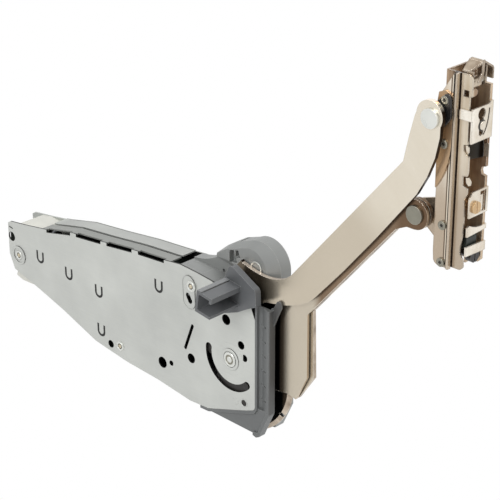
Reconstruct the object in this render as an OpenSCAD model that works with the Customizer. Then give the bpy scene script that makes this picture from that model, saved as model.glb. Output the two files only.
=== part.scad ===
// Lift-up flap fitting: spring housing, parallel lever pair and adjustable door bracket.
// X runs from the rear of the housing to its front, Z is up, and Y = 0 is the face that
// lies on the cabinet side. Depths are measured from the near plate's outer face.

/* [Housing] */
// outside width of the housing, near face to cabinet side
body_d = 25; // [24:0.5:28]
// thickness of the two galvanised side plates
sheet_t = 1.2; // [1:0.1:1.5]
// front edge of the side plates
plate_front_x = 22.5; // [20:0.5:26]
// front face of the grey cover
cover_front_x = 35.5; // [34:0.5:38]
// width of the near top strip
near_strip_w = 11; // [9:0.5:11.5]
// depth at which the far top strip begins
far_strip_d = 12.5; // [12:0.5:14]

/* [Levers] */
// distance between the two pivots of each lever
lever_len = 215; // [200:1:230]
// raised angle of the levers above level
lever_a = 46.5; // [40:0.5:50]
// upper lever pivot, from the large boss, along the housing
upper_pivot_x = 7; // [5:0.5:9]
// upper lever pivot, height above the large boss
upper_pivot_z = 54; // [52:0.5:56]
// lower lever pivot, from the large boss, along the housing
lower_pivot_x = -4; // [-6:0.5:-2]
// lower lever pivot, height above the large boss
lower_pivot_z = -10; // [-12:0.5:-8]
// thickness of the upper lever
upper_lever_t = 3; // [2.5:0.1:3]
// radius of the lower lever's round hub disc
hub_disc_r = 48; // [46:0.5:48]
// radius of the eye at a lever's end
eye_r = 9.5; // [9:0.1:9.5]

/* [Drive] */
// radius of the drive stud and the pivot axle
axle_r = 3.2; // [3:0.1:3.3]
// radius of the circle on which the link pins run
crank_r = 14; // [13.5:0.1:14.5]
// direction of the link pins with the levers raised
crank_a = 237; // [235:0.5:239]
// radius of the link pins
link_pin_r = 1.8; // [1.6:0.1:2]
// smallest radius of the cam
cam_r = 16; // [15:0.5:17]
// how far the cam pushes the slider
cam_lift = 15; // [12:0.5:16]
// swing of the levers from raised to closed
swing_a = 130; // [120:1:130]
// radius of the cam roller
roller_r = 4; // [3.5:0.1:4.2]
// radius of the slot pin's circle
slot_pin_track_r = 21; // [20.5:0.1:21.5]
// radius of the slot pin
slot_pin_r = 2.4; // [2:0.1:2.5]

/* [Springs] */
// outside radius of a compression spring
spring_r = 9.5; // [8.5:0.1:9.7]
// wire thickness of a spring
wire_t = 3; // [2.5:0.1:3.2]
// turns of a spring
turns = 11; // [8:1:12]
// radius of the guide rods
rod_r = 4; // [3.5:0.1:4.5]

/* [Bracket] */
// channel's front, ahead of the upper bracket pivot
channel_front = 21.5; // [20:0.5:23]
// channel's top above the upper bracket pivot
channel_top = 28; // [26:0.5:29]
// channel's foot below the upper bracket pivot
channel_foot = 92; // [90:0.5:94]
// outside width of the channel
channel_w = 19; // [18:0.5:21]
// radius of the keyhole
keyhole_r = 3.4; // [3:0.1:3.6]
// radius of the bracket's screw heads
screw_head_r = 2.8; // [2.4:0.1:3]

/* [Fits] */
// radial gap of a turning pin in its hole
run_gap = 0.05; // [0.03:0.01:0.09]
// radial gap of a fixed pin or screw in its hole
fix_gap = 0.1; // [0.05:0.01:0.15]
// gap between sliding or passing faces
slide_gap = 0.3; // [0.25:0.05:0.35]
// radius of the fixing screw holes
fix_hole_r = 2.4; // [2.2:0.1:2.8]

/* [Hidden] */
$fn = 64;
far_d = body_d - sheet_t;
upper_p = [upper_pivot_x, upper_pivot_z];
lower_p = [lower_pivot_x, lower_pivot_z];
lever_dir = [cos(lever_a), sin(lever_a)];
upper_end = upper_p + lever_len * lever_dir;
lower_end = lower_p + lever_len * lever_dir;
cover_d1 = 5.5;
upper_d0 = 6;
upper_d1 = upper_d0 + upper_lever_t;
face_d0 = 9.4;
face_d1 = 11.4;
back_d0 = 12.4;
back_d1 = 15;
block_d0 = 15.6;
rocker_d0 = 1.6;
rocker_d1 = 4.2;
link_d0 = 4.4;
link_d1 = 5.4;
crank_off = crank_r * [cos(crank_a), sin(crank_a)];
roller_p = [-(cam_r + roller_r + 2 * slide_gap), 0];
slot_pin_a = 312;
slot_pin_p = slot_pin_track_r * [cos(slot_pin_a), sin(slot_pin_a)];
crosshead_x0 = -72;
crosshead_x1 = -56;
spring_x0 = -200;
spring_z = [-2.5, 20.5];
spring_d = body_d / 2;
seat_x1 = -198;
rear_rivet_p = [-223.2, 5.1];
oval_rivet_p = [-36.6, 42];
foot_rivet_p = [-111.5, -30.9];
fix_holes = [[-230.9, 18.1], [-121.9, -33], [-67.4, -27.7]];
fix_access_r = [3.7, 2.9, 4.2];
lower_rel = lower_p - upper_p;
channel_d0 = 15;
channel_d1 = channel_d0 + channel_w;
channel_t = 1.2;
far_wall_t = 2.2;
channel_back = 3;
front_plate = channel_front + channel_t;
cap_rivet_p = [14.4, 68.6];
screw_places = [[5.6, 10.8, 11.8], [6.1, -15.5, 11.8], [6.9, -66.3, 13], [7, -90, 13]];
keyhole_d = 23.6;
eccentric_p = [22, -53];
side_screw_p = [channel_d1 - 7, -86];
hook_pivot = [16.8, 21.6];

// drawing plane of the side view, pushed from depth d0 to d1
module slab(d0, d1)
    translate([0, d1 - body_d, 0]) rotate([90, 0, 0])
        for (i = [0:1:$children - 1]) linear_extrude(height = d1 - d0) children(i);

// a round pin or disc across the fitting
module disc(p, r, d0, d1) slab(d0, d1) translate(p) circle(r);

// points of an arc about a centre
function arc(c, r, a0, a1, steps = 14) =
    [for (i = [0:steps]) let (a = a0 + (a1 - a0) * i / steps) c + r * [cos(a), sin(a)]];

// points of a curve from p to r that bends towards q
function curve(p, q, r, steps = 12) =
    [for (i = [0:steps]) let (t = i / steps) (1 - t) * (1 - t) * p + 2 * t * (1 - t) * q + t * t * r];

// a straight stretch with round ends
module stadium(p, q, r) {
    a = atan2(q[1] - p[1], q[0] - p[0]);
    polygon(concat(arc(q, r, a - 90, a + 90), arc(p, r, a + 90, a + 270)));
}

// a curved slot about the large boss, with round ends
module arc_slot(r, w, a0, a1) {
    start = r * [cos(a0), sin(a0)];
    end = r * [cos(a1), sin(a1)];
    polygon(concat(arc([0, 0], r + w / 2, a0, a1, 26), arc(end, w / 2, a1 + 12, a1 + 168),
        arc([0, 0], r - w / 2, a1, a0, 26), arc(start, w / 2, a0 + 192, a0 + 348)));
}

// a lever's own drawing frame: pivot at the origin, far pivot along +x
module on_lever(pivot) translate(pivot) rotate(lever_a) children();

// the bracket is drawn about its upper pivot
module at_bracket() translate([upper_end[0], 0, upper_end[1]]) children();

// a plate standing across the fitting, drawn in depth and height
module cross_plate(x0, x1)
    translate([x0, -body_d, 0]) rotate([90, 0, 90]) linear_extrude(height = x1 - x0) children();

// a moulding of one section standing up, drawn along the fitting and in depth
module upright(z0, z1) translate([0, -body_d, z0]) linear_extrude(height = z1 - z0) children();

// a round bar along the fitting
module long_bar(x0, x1, d, z, r)
    translate([x0, d - body_d, z]) rotate([0, 90, 0]) cylinder(r = r, h = x1 - x0);

top_edge = [[-234.7, 28.4], [-231.7, 30.2], [-211.8, 32.8], [-190.5, 36.1], [-161.5, 42.6],
    [-127.6, 46.1], [-94.1, 50.2], [-61.8, 52.7], [-47.7, 54.4], [-32.3, 53.5], [-18.6, 52.1],
    [18.9, 45.1]];
foot_edge = [[13.7, -34.2], [-21.9, -46.6], [-40.2, -47.6], [-71.2, -43.5],
    [-104.6, -41.3], [-125.1, -38.5], [-139, -36.4], [-173.9, -23.8], [-203.6, -14.9],
    [-229.4, -8.2], [-234.7, 3.4]];
strip_ends = [-195, -58];
top_slots = [[-189.4, -162.5], [-156.2, -129.4], [-123, -96.6], [-90, -63.8]];
tab_places = [[-198.3, 11.8], [-166, 8.8], [-133.2, 5.7], [-132, -25], [-69.7, 31.1]];

module plate_outline()
    polygon(concat(top_edge, [[plate_front_x, 36.8]],
        arc([plate_front_x - 4, -28], 4, 0, -60, 6), foot_edge));

// the folded strip that follows the top edge
module top_strip(lift) {
    inner = [for (p = top_edge) if (p[0] > strip_ends[0] && p[0] < strip_ends[1]) p];
    line = concat([[strip_ends[0], lookup(strip_ends[0], top_edge)]], inner,
        [[strip_ends[1], lookup(strip_ends[1], top_edge)]]);
    last = len(line) - 1;
    polygon(concat([for (p = line) p + [0, lift]],
        [for (i = [last:-1:0]) line[i] + [0, lift - sheet_t]]));
}

module tab_slit() {
    difference() {
        stadium([0, -1.2], [0, 8], 3.8);
        stadium([0, -1.2], [0, 8], 2.7);
        translate([-5, 4.2]) square([10, 9]);
    }
}

// the near plate's outline with its running gap, for the moulding round it
module offset_plate() translate([slide_gap / 2, -slide_gap / 2]) plate_outline();

module near_plate() {
    boss_r = 7.9;
    color([0.77, 0.78, 0.75]) difference() {
        union() {
            slab(0, sheet_t) plate_outline();
            slab(0, near_strip_w) top_strip(0);
            disc([0, 0], boss_r, -0.8, 0);
            disc(rear_rivet_p, 7.24, -0.6, 0);
            slab(-0.5, 0) stadium([-39.5, 43], [-39, 30], 6);
        }
        disc(upper_p, 9.5, -1, sheet_t + 1);
        disc([0, 0], axle_r + fix_gap, -2, sheet_t + 1);
        disc([0, 0], boss_r - 2.2, -2, -0.3);
        disc(rear_rivet_p, 3.5 + fix_gap, -2, sheet_t + 1);
        disc(rear_rivet_p, 5.6, -2, -0.2);
        disc(oval_rivet_p, 2.5 + fix_gap, -2, sheet_t + 1);
        disc(foot_rivet_p, 2.5 + fix_gap, -2, sheet_t + 1);
        for (i = [0:2]) disc(fix_holes[i], fix_access_r[i], -1, sheet_t + 1);
        disc([-58.4, -25], 2, -1, sheet_t + 1);
        disc([-38.2, -13.7], 3.6, -1, sheet_t + 1);
        disc([-4.1, 28.1], 3.8, -1, sheet_t + 1);
        disc([9.8, 13.9], 3, -1, sheet_t + 1);
        disc([12.4, -28.9], 1.2, -1, sheet_t + 1);
        slab(-1, sheet_t + 1) {
            stadium([-36.6, 11.8], [-43.9, -7.4], 1.25);
            stadium([-40, 34], [-38, 30.5], 2);
            stadium([-233, 25.6], [-229.7, 25], 0.5);
            arc_slot(slot_pin_track_r, 5.5, 174, 316);
            intersection() {
                translate([12.9, 5.3]) circle(2.6);
                translate([11.6, 0]) square([6, 12]);
            }
            for (p = tab_places) translate(p) tab_slit();
        }
        for (s = top_slots) slab(-1, 3.2)
            polygon([[s[0], lookup(s[0], top_edge) - 2.4], [s[1], lookup(s[1], top_edge) - 2.4],
                [s[1], lookup(s[1], top_edge) + 1], [s[0], lookup(s[0], top_edge) + 1]]);
    }
}

module wall_plate() {
    color([0.72, 0.73, 0.71]) difference() {
        union() {
            slab(far_d, body_d) {
                plate_outline();
                translate(upper_p) circle(13);
                polygon([[-6, 40], [20, 40], [19, 58], [-6, 58]]);
            }
            slab(far_strip_d, body_d) top_strip(0.6);
        }
        for (p = fix_holes) disc(p, fix_hole_r, far_d - 1, body_d + 1);
        disc(upper_p, axle_r + run_gap, far_d - 1, body_d + 1);
        disc(lower_p, 5 + fix_gap, far_d - 1, body_d + 1);
        disc(rear_rivet_p, 3.5 + fix_gap, far_d - 1, body_d + 1);
        disc(oval_rivet_p, 2.5 + fix_gap, far_d - 1, body_d + 1);
        disc(foot_rivet_p, 2.5 + fix_gap, far_d - 1, body_d + 1);
    }
}

module plate_rivets() {
    color([0.87, 0.87, 0.84]) {
        disc(rear_rivet_p, 3.5, -0.4, body_d);
        disc(oval_rivet_p, 2.5, -1.1, body_d);
        disc(oval_rivet_p, 4, -1.1, -0.5);
        disc(foot_rivet_p, 2.5, -0.6, body_d);
        disc(foot_rivet_p, 3.6, -0.6, 0);
        disc(foot_rivet_p, 4, sheet_t, far_d);
    }
}

module front_cover() {
    front = cover_front_x;
    rim = plate_front_x + slide_gap / 2;
    wall_t = 2.5;
    color([0.54, 0.55, 0.56]) difference() {
        union() {
            upright(-29.6, 47) polygon([[rim, 0], [rim + 1.5, 0], [rim + 1.8, 2.4], [rim + 4, 3],
                [front - 1.6, 0], [front - 0.4, 0], [front, 0.6], [front, cover_d1],
                [front - wall_t, cover_d1], [front - wall_t, 3.8], [rim, 3.8]]);
            slab(0, sheet_t) difference() {
                polygon([[rim, -20], [rim + 1.5, -20], [rim + 1.5, -29.6], [22, -33.5], [14, -36.6],
                    [-22, -49], [-30, -49.2], [-30, -40], [10, -30]]);
                offset_plate();
            }
            slab(sheet_t, 3.6)
                polygon([[front - wall_t, -29], [26, -48.2], [21, -49.5], [-22, -48.8], [-30, -49],
                    [-30, -42], [-21.9, -42], [13.7, -33.2], [rim, -29]]);
            slab(0, cover_d1)
                polygon([[front, -29.6], [26.6, -49.6], [23.6, -51.2], [20.4, -50.4], [20.4, -48],
                    [25, -47], [front - wall_t, -29]]);
            slab(cover_d1 - 1.2, cover_d1) polygon([[front - wall_t, 36], [front - wall_t, 47.5],
                [front, 49], [front + 2.6, 54.2], [front + 4.4, 55], [front + 6.2, 54.2],
                [front + 6.9, 51], [front + 3.6, 44], [front, 35.5]]);
        }
        for (z = [-22:11:33]) upright(z, z + 1.6) polygon([[rim + 3.2, 1.6], [rim + 3.2, 3.2],
            [front - 4, 2.6], [front - 4, -1], [rim + 6.4, -1]]);
    }
}

module body_block() {
    d0 = sheet_t + slide_gap / 2;
    color([0.55, 0.57, 0.58]) difference() {
        slab(d0, block_d0)
            polygon([[-50, 30], [-50, 53.2], [-32.3, 52.6], [-18.6, 51.2], [-14, 50.3], [-14, 41.3],
                [-25, 40], [-38, 34]]);
        disc(oval_rivet_p, 2.5 + fix_gap, 0, body_d);
        slab(4, block_d0 - 2) polygon([[-46, 47], [-46, 56], [-30, 56], [-30, 46]]);
    }
}

module far_block() {
    color([0.51, 0.53, 0.54]) difference() {
        slab(block_d0, far_d)
            polygon(concat([[-50, -40], [-50, 54.2]],
                curve([-48, 54.6], [-36, 56], [-26.5, 62.5]), [[-20, 66], [-6, 68], [-3, 62],
                [26, 62], [cover_front_x - 4, 56], [cover_front_x, 50], [cover_front_x, -29.6],
                [26.6, -48.6], [21, -49.5], [-22, -46], [-40, -46]]));
        disc(upper_p, axle_r + run_gap, block_d0 - 1, body_d);
        disc(lower_p, 5 + fix_gap, block_d0 - 1, body_d);
        disc(oval_rivet_p, 2.5 + fix_gap, 0, body_d);
        disc([-21.5, 53], 1.5, block_d0 - 1, block_d0 + 3);
    }
}

// the cap's full barrel section, and its smaller near end
cap_c = [14, 68];
cap_r = 18.3;

module cap_profile()
    polygon(concat([[-27, 62.6], [-26.5, 65.4], [-15.5, 74.6], [-7.7, 79.4], [4.8, 83.8]],
        arc(cap_c, cap_r, 112, 0, 16), [[cap_c[0] + cap_r, 64], [cap_c[0] + cap_r - 4, 60],
        [-10, 60]]));

module cap_face()
    polygon(concat([[-13, 66], [-13.1, 73.9], [2.5, 79.3]],
        arc([9, 66], 14.6, 108, 0, 12), [[19, 62], [3, 63]]));

module nose_cap() {
    near_d = 9.9;
    color([0.56, 0.57, 0.58]) difference() {
        union() {
            difference() {
                slab(14.5, far_d) cap_profile();
                slab(block_d0, far_d + 1) far_room();
            }
            hull() {
                slab(near_d, near_d + 0.6) cap_face();
                slab(14.1, 14.5) cap_profile();
            }
        }
        disc(upper_p, 19.4, 8, near_d + 0.3);
        disc(cap_rivet_p, 5 + fix_gap, near_d - 1, 12.4);
        slab(near_d - 1, 14) {
            polygon([[-10.6, 65], [-10.6, 73.6], [-6.4, 75], [-3.6, 66.5]]);
            polygon([[-5, 70], [-5, 75.4], [-2.4, 76], [-0.6, 70.6]]);
        }
        translate([-4.5, 19.2 - body_d, 79.4]) rotate([0, -19, 0])
            cube([2.2, 9, 3], center = true);
    }
}

// the part of the far block that stands inside the cap
module far_room() polygon([[-60, 50], [-60, 62.4], [-26.4, 62.6], [-20, 66.1], [-5.9, 68.2],
    [-2.9, 62.1], [26.2, 62.1], [34, 53], [34, 50]]);

module cap_rivet() {
    color([0.6, 0.6, 0.58]) difference() {
        disc(cap_rivet_p, 5, 9.4, 12.3);
        disc(cap_rivet_p, 4, 9, 9.8);
    }
}

module spring_seat() {
    pocket_r = spring_r + 0.5;
    pocket_deep = cam_lift + 3;
    color([0.85, 0.83, 0.76]) difference() {
        slab(sheet_t, far_d)
            polygon([[-226, 31], [-222, 34.6], [-212, 36.4], [-202, 35.8], [seat_x1, 34], [seat_x1, -14.6],
                [-221.5, -15.5], [-229, -13.3], [-226, -6]]);
        for (z = spring_z) {
            long_bar(seat_x1 - pocket_deep, seat_x1 + 1, spring_d, z, pocket_r);
            long_bar(-219, seat_x1, spring_d, z, rod_r + fix_gap);
        }
        disc(rear_rivet_p, 3.5 + fix_gap, 0, body_d);
        disc(fix_holes[0], 5, 0, body_d);
    }
}

module guide_rods() {
    color([0.7, 0.7, 0.68])
        for (z = spring_z) long_bar(-219, crosshead_x1 - 2, spring_d, z, rod_r);
}

// one wound spring: rings of wire points joined along the helix
module coil(x0, x1, r, wire, turns, sides = 6, steps = 12) {
    count = turns * steps;
    lead = (x1 - x0 - 2 * wire) / count;
    function ring(i) = [for (s = [0:sides - 1])
        let (a = i * 360 / steps, b = s * 360 / sides, out = r + wire * cos(b))
        [x0 + wire + i * lead + wire * sin(b), out * cos(a), out * sin(a)]];
    points = [for (i = [0:count]) each ring(i)];
    walls = [for (i = [0:count - 1], s = [0:sides - 1])
        let (t = (s + 1) % sides, here = i * sides, on = here + sides)
        each [[here + s, here + t, on + t], [here + s, on + t, on + s]]];
    first = [for (s = [sides - 1:-1:0]) s];
    last = [for (s = [0:sides - 1]) count * sides + s];
    polyhedron(points = points, faces = concat(walls, [first, last]), convexity = 10);
}

module compression_springs() {
    color([0.35, 0.36, 0.36])
        for (z = spring_z) translate([0, spring_d - body_d, z])
            coil(spring_x0, crosshead_x0 - 0.1, spring_r - wire_t / 2, wire_t / 2, turns);
}

module slider() {
    arm_w = 8;
    color([0.12, 0.15, 0.13]) difference() {
        union() {
            slab(sheet_t + 0.8, far_d - 0.8) polygon([[crosshead_x0, -17], [crosshead_x0, 47.5], [-52, 47.5], [-52, 36],
                [crosshead_x1, 32], [crosshead_x1, -17]]);
            slab(link_d0, link_d1) {
                translate([crosshead_x1 - 1, -arm_w / 2])
                    square([roller_p[0] - crosshead_x1 + 1, arm_w]);
                translate(roller_p) circle(arm_w / 2);
            }
        }
        for (z = spring_z) long_bar(crosshead_x0 - 1, crosshead_x1 + 1, spring_d, z, rod_r + slide_gap);
        disc(roller_p, 1.5 + fix_gap, 0, body_d);
    }
}

module cam_roller() {
    color([0.75, 0.75, 0.73]) difference() {
        disc(roller_p, roller_r, 1.7, 4.1);
        disc(roller_p, 1.5 + run_gap, 1, 5);
    }
}

module roller_pin() {
    color([0.8, 0.8, 0.78]) disc(roller_p, 1.5, 1.7, link_d1);
}

module cam_rocker() {
    function cam(a) = (cam_r + cam_lift * (a - 180) / swing_a) * [cos(a), sin(a)];
    color([0.3, 0.3, 0.3]) difference() {
        slab(rocker_d0, rocker_d1) {
            polygon(concat([[0, 0]], [for (a = [150:4:314]) cam(a)]));
            circle(10);
            stadium([0, 0], crank_off, 4.2);
            translate(slot_pin_p) circle(4.4);
        }
        disc([0, 0], axle_r + run_gap, 0, 6);
        disc(crank_off, link_pin_r + fix_gap, 0, 6);
        disc(slot_pin_p, 1.6 + fix_gap, 0, 6);
    }
}

module slot_pin() {
    color([0.3, 0.3, 0.29]) {
        disc(slot_pin_p, slot_pin_r, 0, rocker_d0);
        disc(slot_pin_p, 1.6, rocker_d0, rocker_d1);
    }
}

module drive_stud() {
    color([0.87, 0.87, 0.84]) {
        disc([0, 0], axle_r, -1.2, 5.3);
        disc([0, 0], 5.2, -1.2, -0.3);
        disc([0, 0], axle_r + 0.35, rocker_d1 + 0.1, 5.3);
    }
}

module coupling_link() {
    eye = 3.6;
    color([0.62, 0.62, 0.6]) difference() {
        slab(link_d0, link_d1) {
            stadium(crank_off, upper_p + crank_off, 2);
            for (p = [[0, 0], upper_p]) translate(p + crank_off) circle(eye);
        }
        for (p = [[0, 0], upper_p]) disc(p + crank_off, link_pin_r + run_gap, 0, 6);
    }
}

module rocker_link_pin() {
    color([0.8, 0.8, 0.78]) {
        disc(crank_off, link_pin_r, rocker_d0, link_d1 + 0.1);
        disc(crank_off, 2.8, link_d1 + 0.1, link_d1 + 0.4);
    }
}

module lever_link_pin() {
    color([0.8, 0.8, 0.78]) {
        disc(upper_p + crank_off, link_pin_r, link_d0 - 0.1, upper_d1);
        disc(upper_p + crank_off, 2.8, link_d0 - 0.5, link_d0 - 0.1);
    }
}

module pivot_axle() {
    color([0.7, 0.7, 0.68]) disc(upper_p, axle_r, -4.9, body_d - 0.1);
}

module flange()
    polygon(concat(arc([6.6, 68.6], 3.6, 140, 70, 6), [[25, 63]], arc([24.4, 59.4], 3.6, 60, 0, 6),
        [[28.4, 50.2], [20.9, 46.4], [11.8, 41], [0.4, 36.4]], arc([-2, 44], 7, 270, 190, 6)));

module shaft_socket() {
    wall = 1.9;
    deep = 13.5;
    tall = 15.5;
    root_d = -5.3;
    color([0.4, 0.42, 0.44]) difference() {
        union() {
            slab(-32, root_d) translate(upper_p) rotate(-8) difference() {
                translate([-deep / 2, -tall / 2]) square([deep, tall]);
                translate([wall - deep / 2, wall - tall / 2]) square([deep, tall - 2 * wall]);
            }
            slab(-32, root_d) translate(upper_p) rotate(-8)
                translate([deep / 2 - wall, tall / 2 - wall - 2.2]) square([wall, 3]);
            slab(root_d, -0.4) flange();
            disc(upper_p, 8, -0.4, rocker_d1);
        }
        disc(upper_p, axle_r + fix_gap, -5, 6);
        disc(upper_p, 2.2, -6, 0);
    }
}

module upper_outline() on_lever(upper_p)
    polygon(concat([[0, 13], [6, 14.6], [11.4, 14.8]], curve([10.8, 13.4], [24, -14.4], [45.2, -15]),
        [[lever_len - 35.7, -7.9], [lever_len - 22.5, 0.1], [lever_len - 8.5, 7.8],
        [lever_len, eye_r + 1.4], [lever_len + 8, 1], [lever_len + 2.7, -7.4],
        [lever_len - 2.5, -12.2], [lever_len - 14.1, -19.3], [lever_len - 27.2, -24.6],
        [lever_len - 41.1, -28.2], [126.6, -32.4], [87.5, -34.9]],
        curve([50.5, -36.1], [34, -35.6], [12, -18.8]), [[0, -13]]));

module upper_lever() {
    color([0.87, 0.83, 0.75]) difference() {
        union() {
            slab(upper_d0, upper_d1) upper_outline();
            disc(upper_p, 13, upper_d0, upper_d1);
            slab(upper_d0, upper_d1) stadium(upper_p, upper_p + crank_off, link_pin_r + 2.6);
            disc(upper_end + [-1, 1], eye_r, upper_d0, upper_d1);
        }
        disc(upper_p, axle_r + fix_gap, 5, 10);
        disc(upper_p + crank_off, link_pin_r + fix_gap, 5, 10);
        disc(upper_end, 4 + run_gap, 5, 10);
    }
}

// the lower lever's arm; the face plate stops short of the back plate's front strip
module lower_arm(strip) on_lever(lower_p)
    polygon([[10, 30], [50, 22], [66, 18], [90, 12], [140, 9], [lever_len - 25, 8.8],
        [lever_len, eye_r], [lever_len, -eye_r], [lever_len - 7, -6.6], [lever_len - 11, -2.4],
        [lever_len - 19.6, 0.9], [91.4 - strip, -4.8], [57.1 - 0.7 * strip, -39.2 + 0.7 * strip],
        [34.2, -43.1], [29.9, -36.4], [10, -20]]);

pair_rivet_places = [[24, 6], [40, 14], [120, 6], [165, 5.9]];

module pair_holes() on_lever(lower_p) for (p = pair_rivet_places) translate(p) circle(2.2 + fix_gap);

module face_plate() {
    color([0.78, 0.73, 0.65]) difference() {
        union() {
            slab(face_d0, face_d1) lower_arm(3.4);
            disc(lower_p, 23, face_d0, face_d1);
            disc(lower_end, eye_r, face_d0, face_d1);
        }
        disc(lower_p, 5 + run_gap, 9, 12);
        disc(lower_p, 7.6 + slide_gap, 9, 10.5);
        slab(9, 12) pair_holes();
        disc(lower_end, 4 + fix_gap, 9, 12);
    }
}

module back_plate() {
    color([0.74, 0.7, 0.62]) difference() {
        union() {
            slab(back_d0, back_d1) lower_arm(0);
            disc(lower_end, eye_r, back_d0, back_d1);
            translate([lower_p[0], back_d1 - body_d, lower_p[1]]) rotate([90, 0, 0]) {
                cylinder(r = hub_disc_r, h = 1.4);
                translate([0, 0, 1.4]) cylinder(r1 = hub_disc_r, r2 = hub_disc_r - 3, h = 1.2);
            }
        }
        disc(lower_p, 5 + run_gap, 12, 16);
        slab(12, 16) pair_holes();
        disc(lower_end, 4 + fix_gap, 12, 16);
        slab(12, 16) translate([35.5, -34]) rotate(45) square([3, 3], center = true);
    }
}

module plate_pair_rivets() {
    color([0.8, 0.77, 0.7]) slab(face_d0, back_d1) on_lever(lower_p)
        for (p = pair_rivet_places) translate(p) circle(2.2);
}

module lower_pivot() {
    color([0.7, 0.7, 0.68]) {
        disc(lower_p, 5, face_d0, body_d);
        disc(lower_p, 7.6, face_d0, 10.4);
        disc(lower_p, 8, back_d1 + 0.1, block_d0);
    }
}

module lower_rivet() {
    color([0.87, 0.87, 0.84]) {
        disc(lower_end, 4, 8.2, 21.4);
        disc(lower_end, 5.9, 8, face_d0);
    }
}

module lower_spacer() {
    color([0.4, 0.38, 0.36]) difference() {
        disc(lower_end, 6.4, back_d1, 19.2);
        disc(lower_end, 4 + fix_gap, 14, 20);
    }
}

module bracket_rivet() {
    color([0.87, 0.87, 0.84]) {
        disc(upper_end, 4, 4.6, 14.3);
        disc(upper_end, 6, 4.2, upper_d0 - 0.1);
    }
}

module bracket_washers() {
    color([0.62, 0.58, 0.52]) difference() {
        disc(upper_end, 8, upper_d1 + 0.1, 10.3);
        disc(upper_end, 4 + fix_gap, 8, 12);
    }
}

// the dark lug between the lever's eye and the ear plate
module pivot_boss() {
    color([0.16, 0.15, 0.14]) at_bracket() difference() {
        slab(10.3, 11.7) polygon(concat(arc([0, 0], 7.4, 100, 280, 12),
            curve([1.4, -7.3], [8.6, -4], [11, 1.6]), arc([7.4, 11.6], 3.4, 10, 110, 6)));
        disc([0, 0], 4 + fix_gap, 10, 12);
        disc([screw_places[0][0], screw_places[0][1]], screw_head_r + 0.4, 10, 12);
    }
}

module screw_holes(r, d0, d1) for (s = screw_places) disc([s[0], s[1]], r, d0, d1);

module side_plate() {
    edge_x = channel_front - 8.5;
    color([0.55, 0.47, 0.38]) at_bracket() difference() {
        union() {
            slab(13, 14.5) {
                polygon(concat([[0.6, 12.8], [0.6, -84]], arc([5.2, 3.6 - channel_foot], 4.4, 200, 270, 6),
                    [[edge_x, -0.8 - channel_foot], [edge_x, channel_top], [10.6, channel_top + 0.4]]));
                circle(8);
            }
            slab(11.7, 14.5) polygon([[edge_x - 1.7, -0.8 - channel_foot], [edge_x, -0.8 - channel_foot],
                [edge_x, channel_top], [edge_x - 1.7, channel_top]]);
            slab(13, 20.8) polygon([[0.9, -83], [0.9, -52], [2.4, -52], [2.4, -83]]);
            slab(19.3, 20.8) {
                translate(lower_rel) circle(7.6);
                polygon([lower_rel + [-3, 7], [2, -52], [2, -83], lower_rel + [-3, -7]]);
                polygon([lower_rel + [-2, -7], [2, -83], [2, -70]]);
            }
        }
        disc([0, 0], 4 + fix_gap, 12, 15);
        disc(lower_rel, 4 + fix_gap, 18, 22);
        screw_holes(1.6, 12, 15);
    }
}

module ear_plate() {
    color([0.5, 0.4, 0.3]) at_bracket() difference() {
        slab(11.8, 13) {
            circle(8.4);
            polygon(concat([[-0.5, 7], [0.6, 14.6], [5, 16.4], [11, 14], [11, -14]],
                curve([11, -14], [10.4, -30], [0.8, -44]), [[0.8, -30], [0.5, -8]]));
        }
        disc([0, 0], 4 + fix_gap, 11, 14);
        screw_holes(1.6, 11, 14);
    }
}

module bracket_screws() {
    color([0.83, 0.82, 0.78]) at_bracket() for (s = screw_places) {
        disc([s[0], s[1]], screw_head_r, s[2] - 1, s[2]);
        disc([s[0], s[1]], 1.5, s[2], 17.4);
        disc([s[0], s[1]], 2.3, 16.5, 17.6);
    }
}

// near wall: stepped front edge with the hook slots, round corners at top and foot
module near_wall_outline() {
    f = channel_front;
    polygon(concat([[channel_back, -channel_foot + 4], [channel_back + 6, -channel_foot]],
        [[f - 4.6, -channel_foot]], arc([f - 3.4, 3.4 - channel_foot], 3.4, 270, 350, 5),
        [[f - 0.6, -85.4], [f - 3.2, -81], [f - 3, -78.6], [f - 1.8, -70.4], [f - 1.2, -58.6],
        [f - 1.8, -47.6], [f, -43.6], [f, -40], [f - 3.6, -38.8], [f - 3.8, -33], [f - 0.6, -32.6],
        [f, -30], [f, -20.6], [f - 2.2, -19.8], [f - 4, -17.6], [f - 4.2, -14.2], [f - 1.4, -13.6],
        [f - 1.6, 14.2], [f - 0.2, 20]], arc([f - 3.6, channel_top - 3.6], 3.6, 0, 90, 6),
        [[channel_back, channel_top]]));
}

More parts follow.
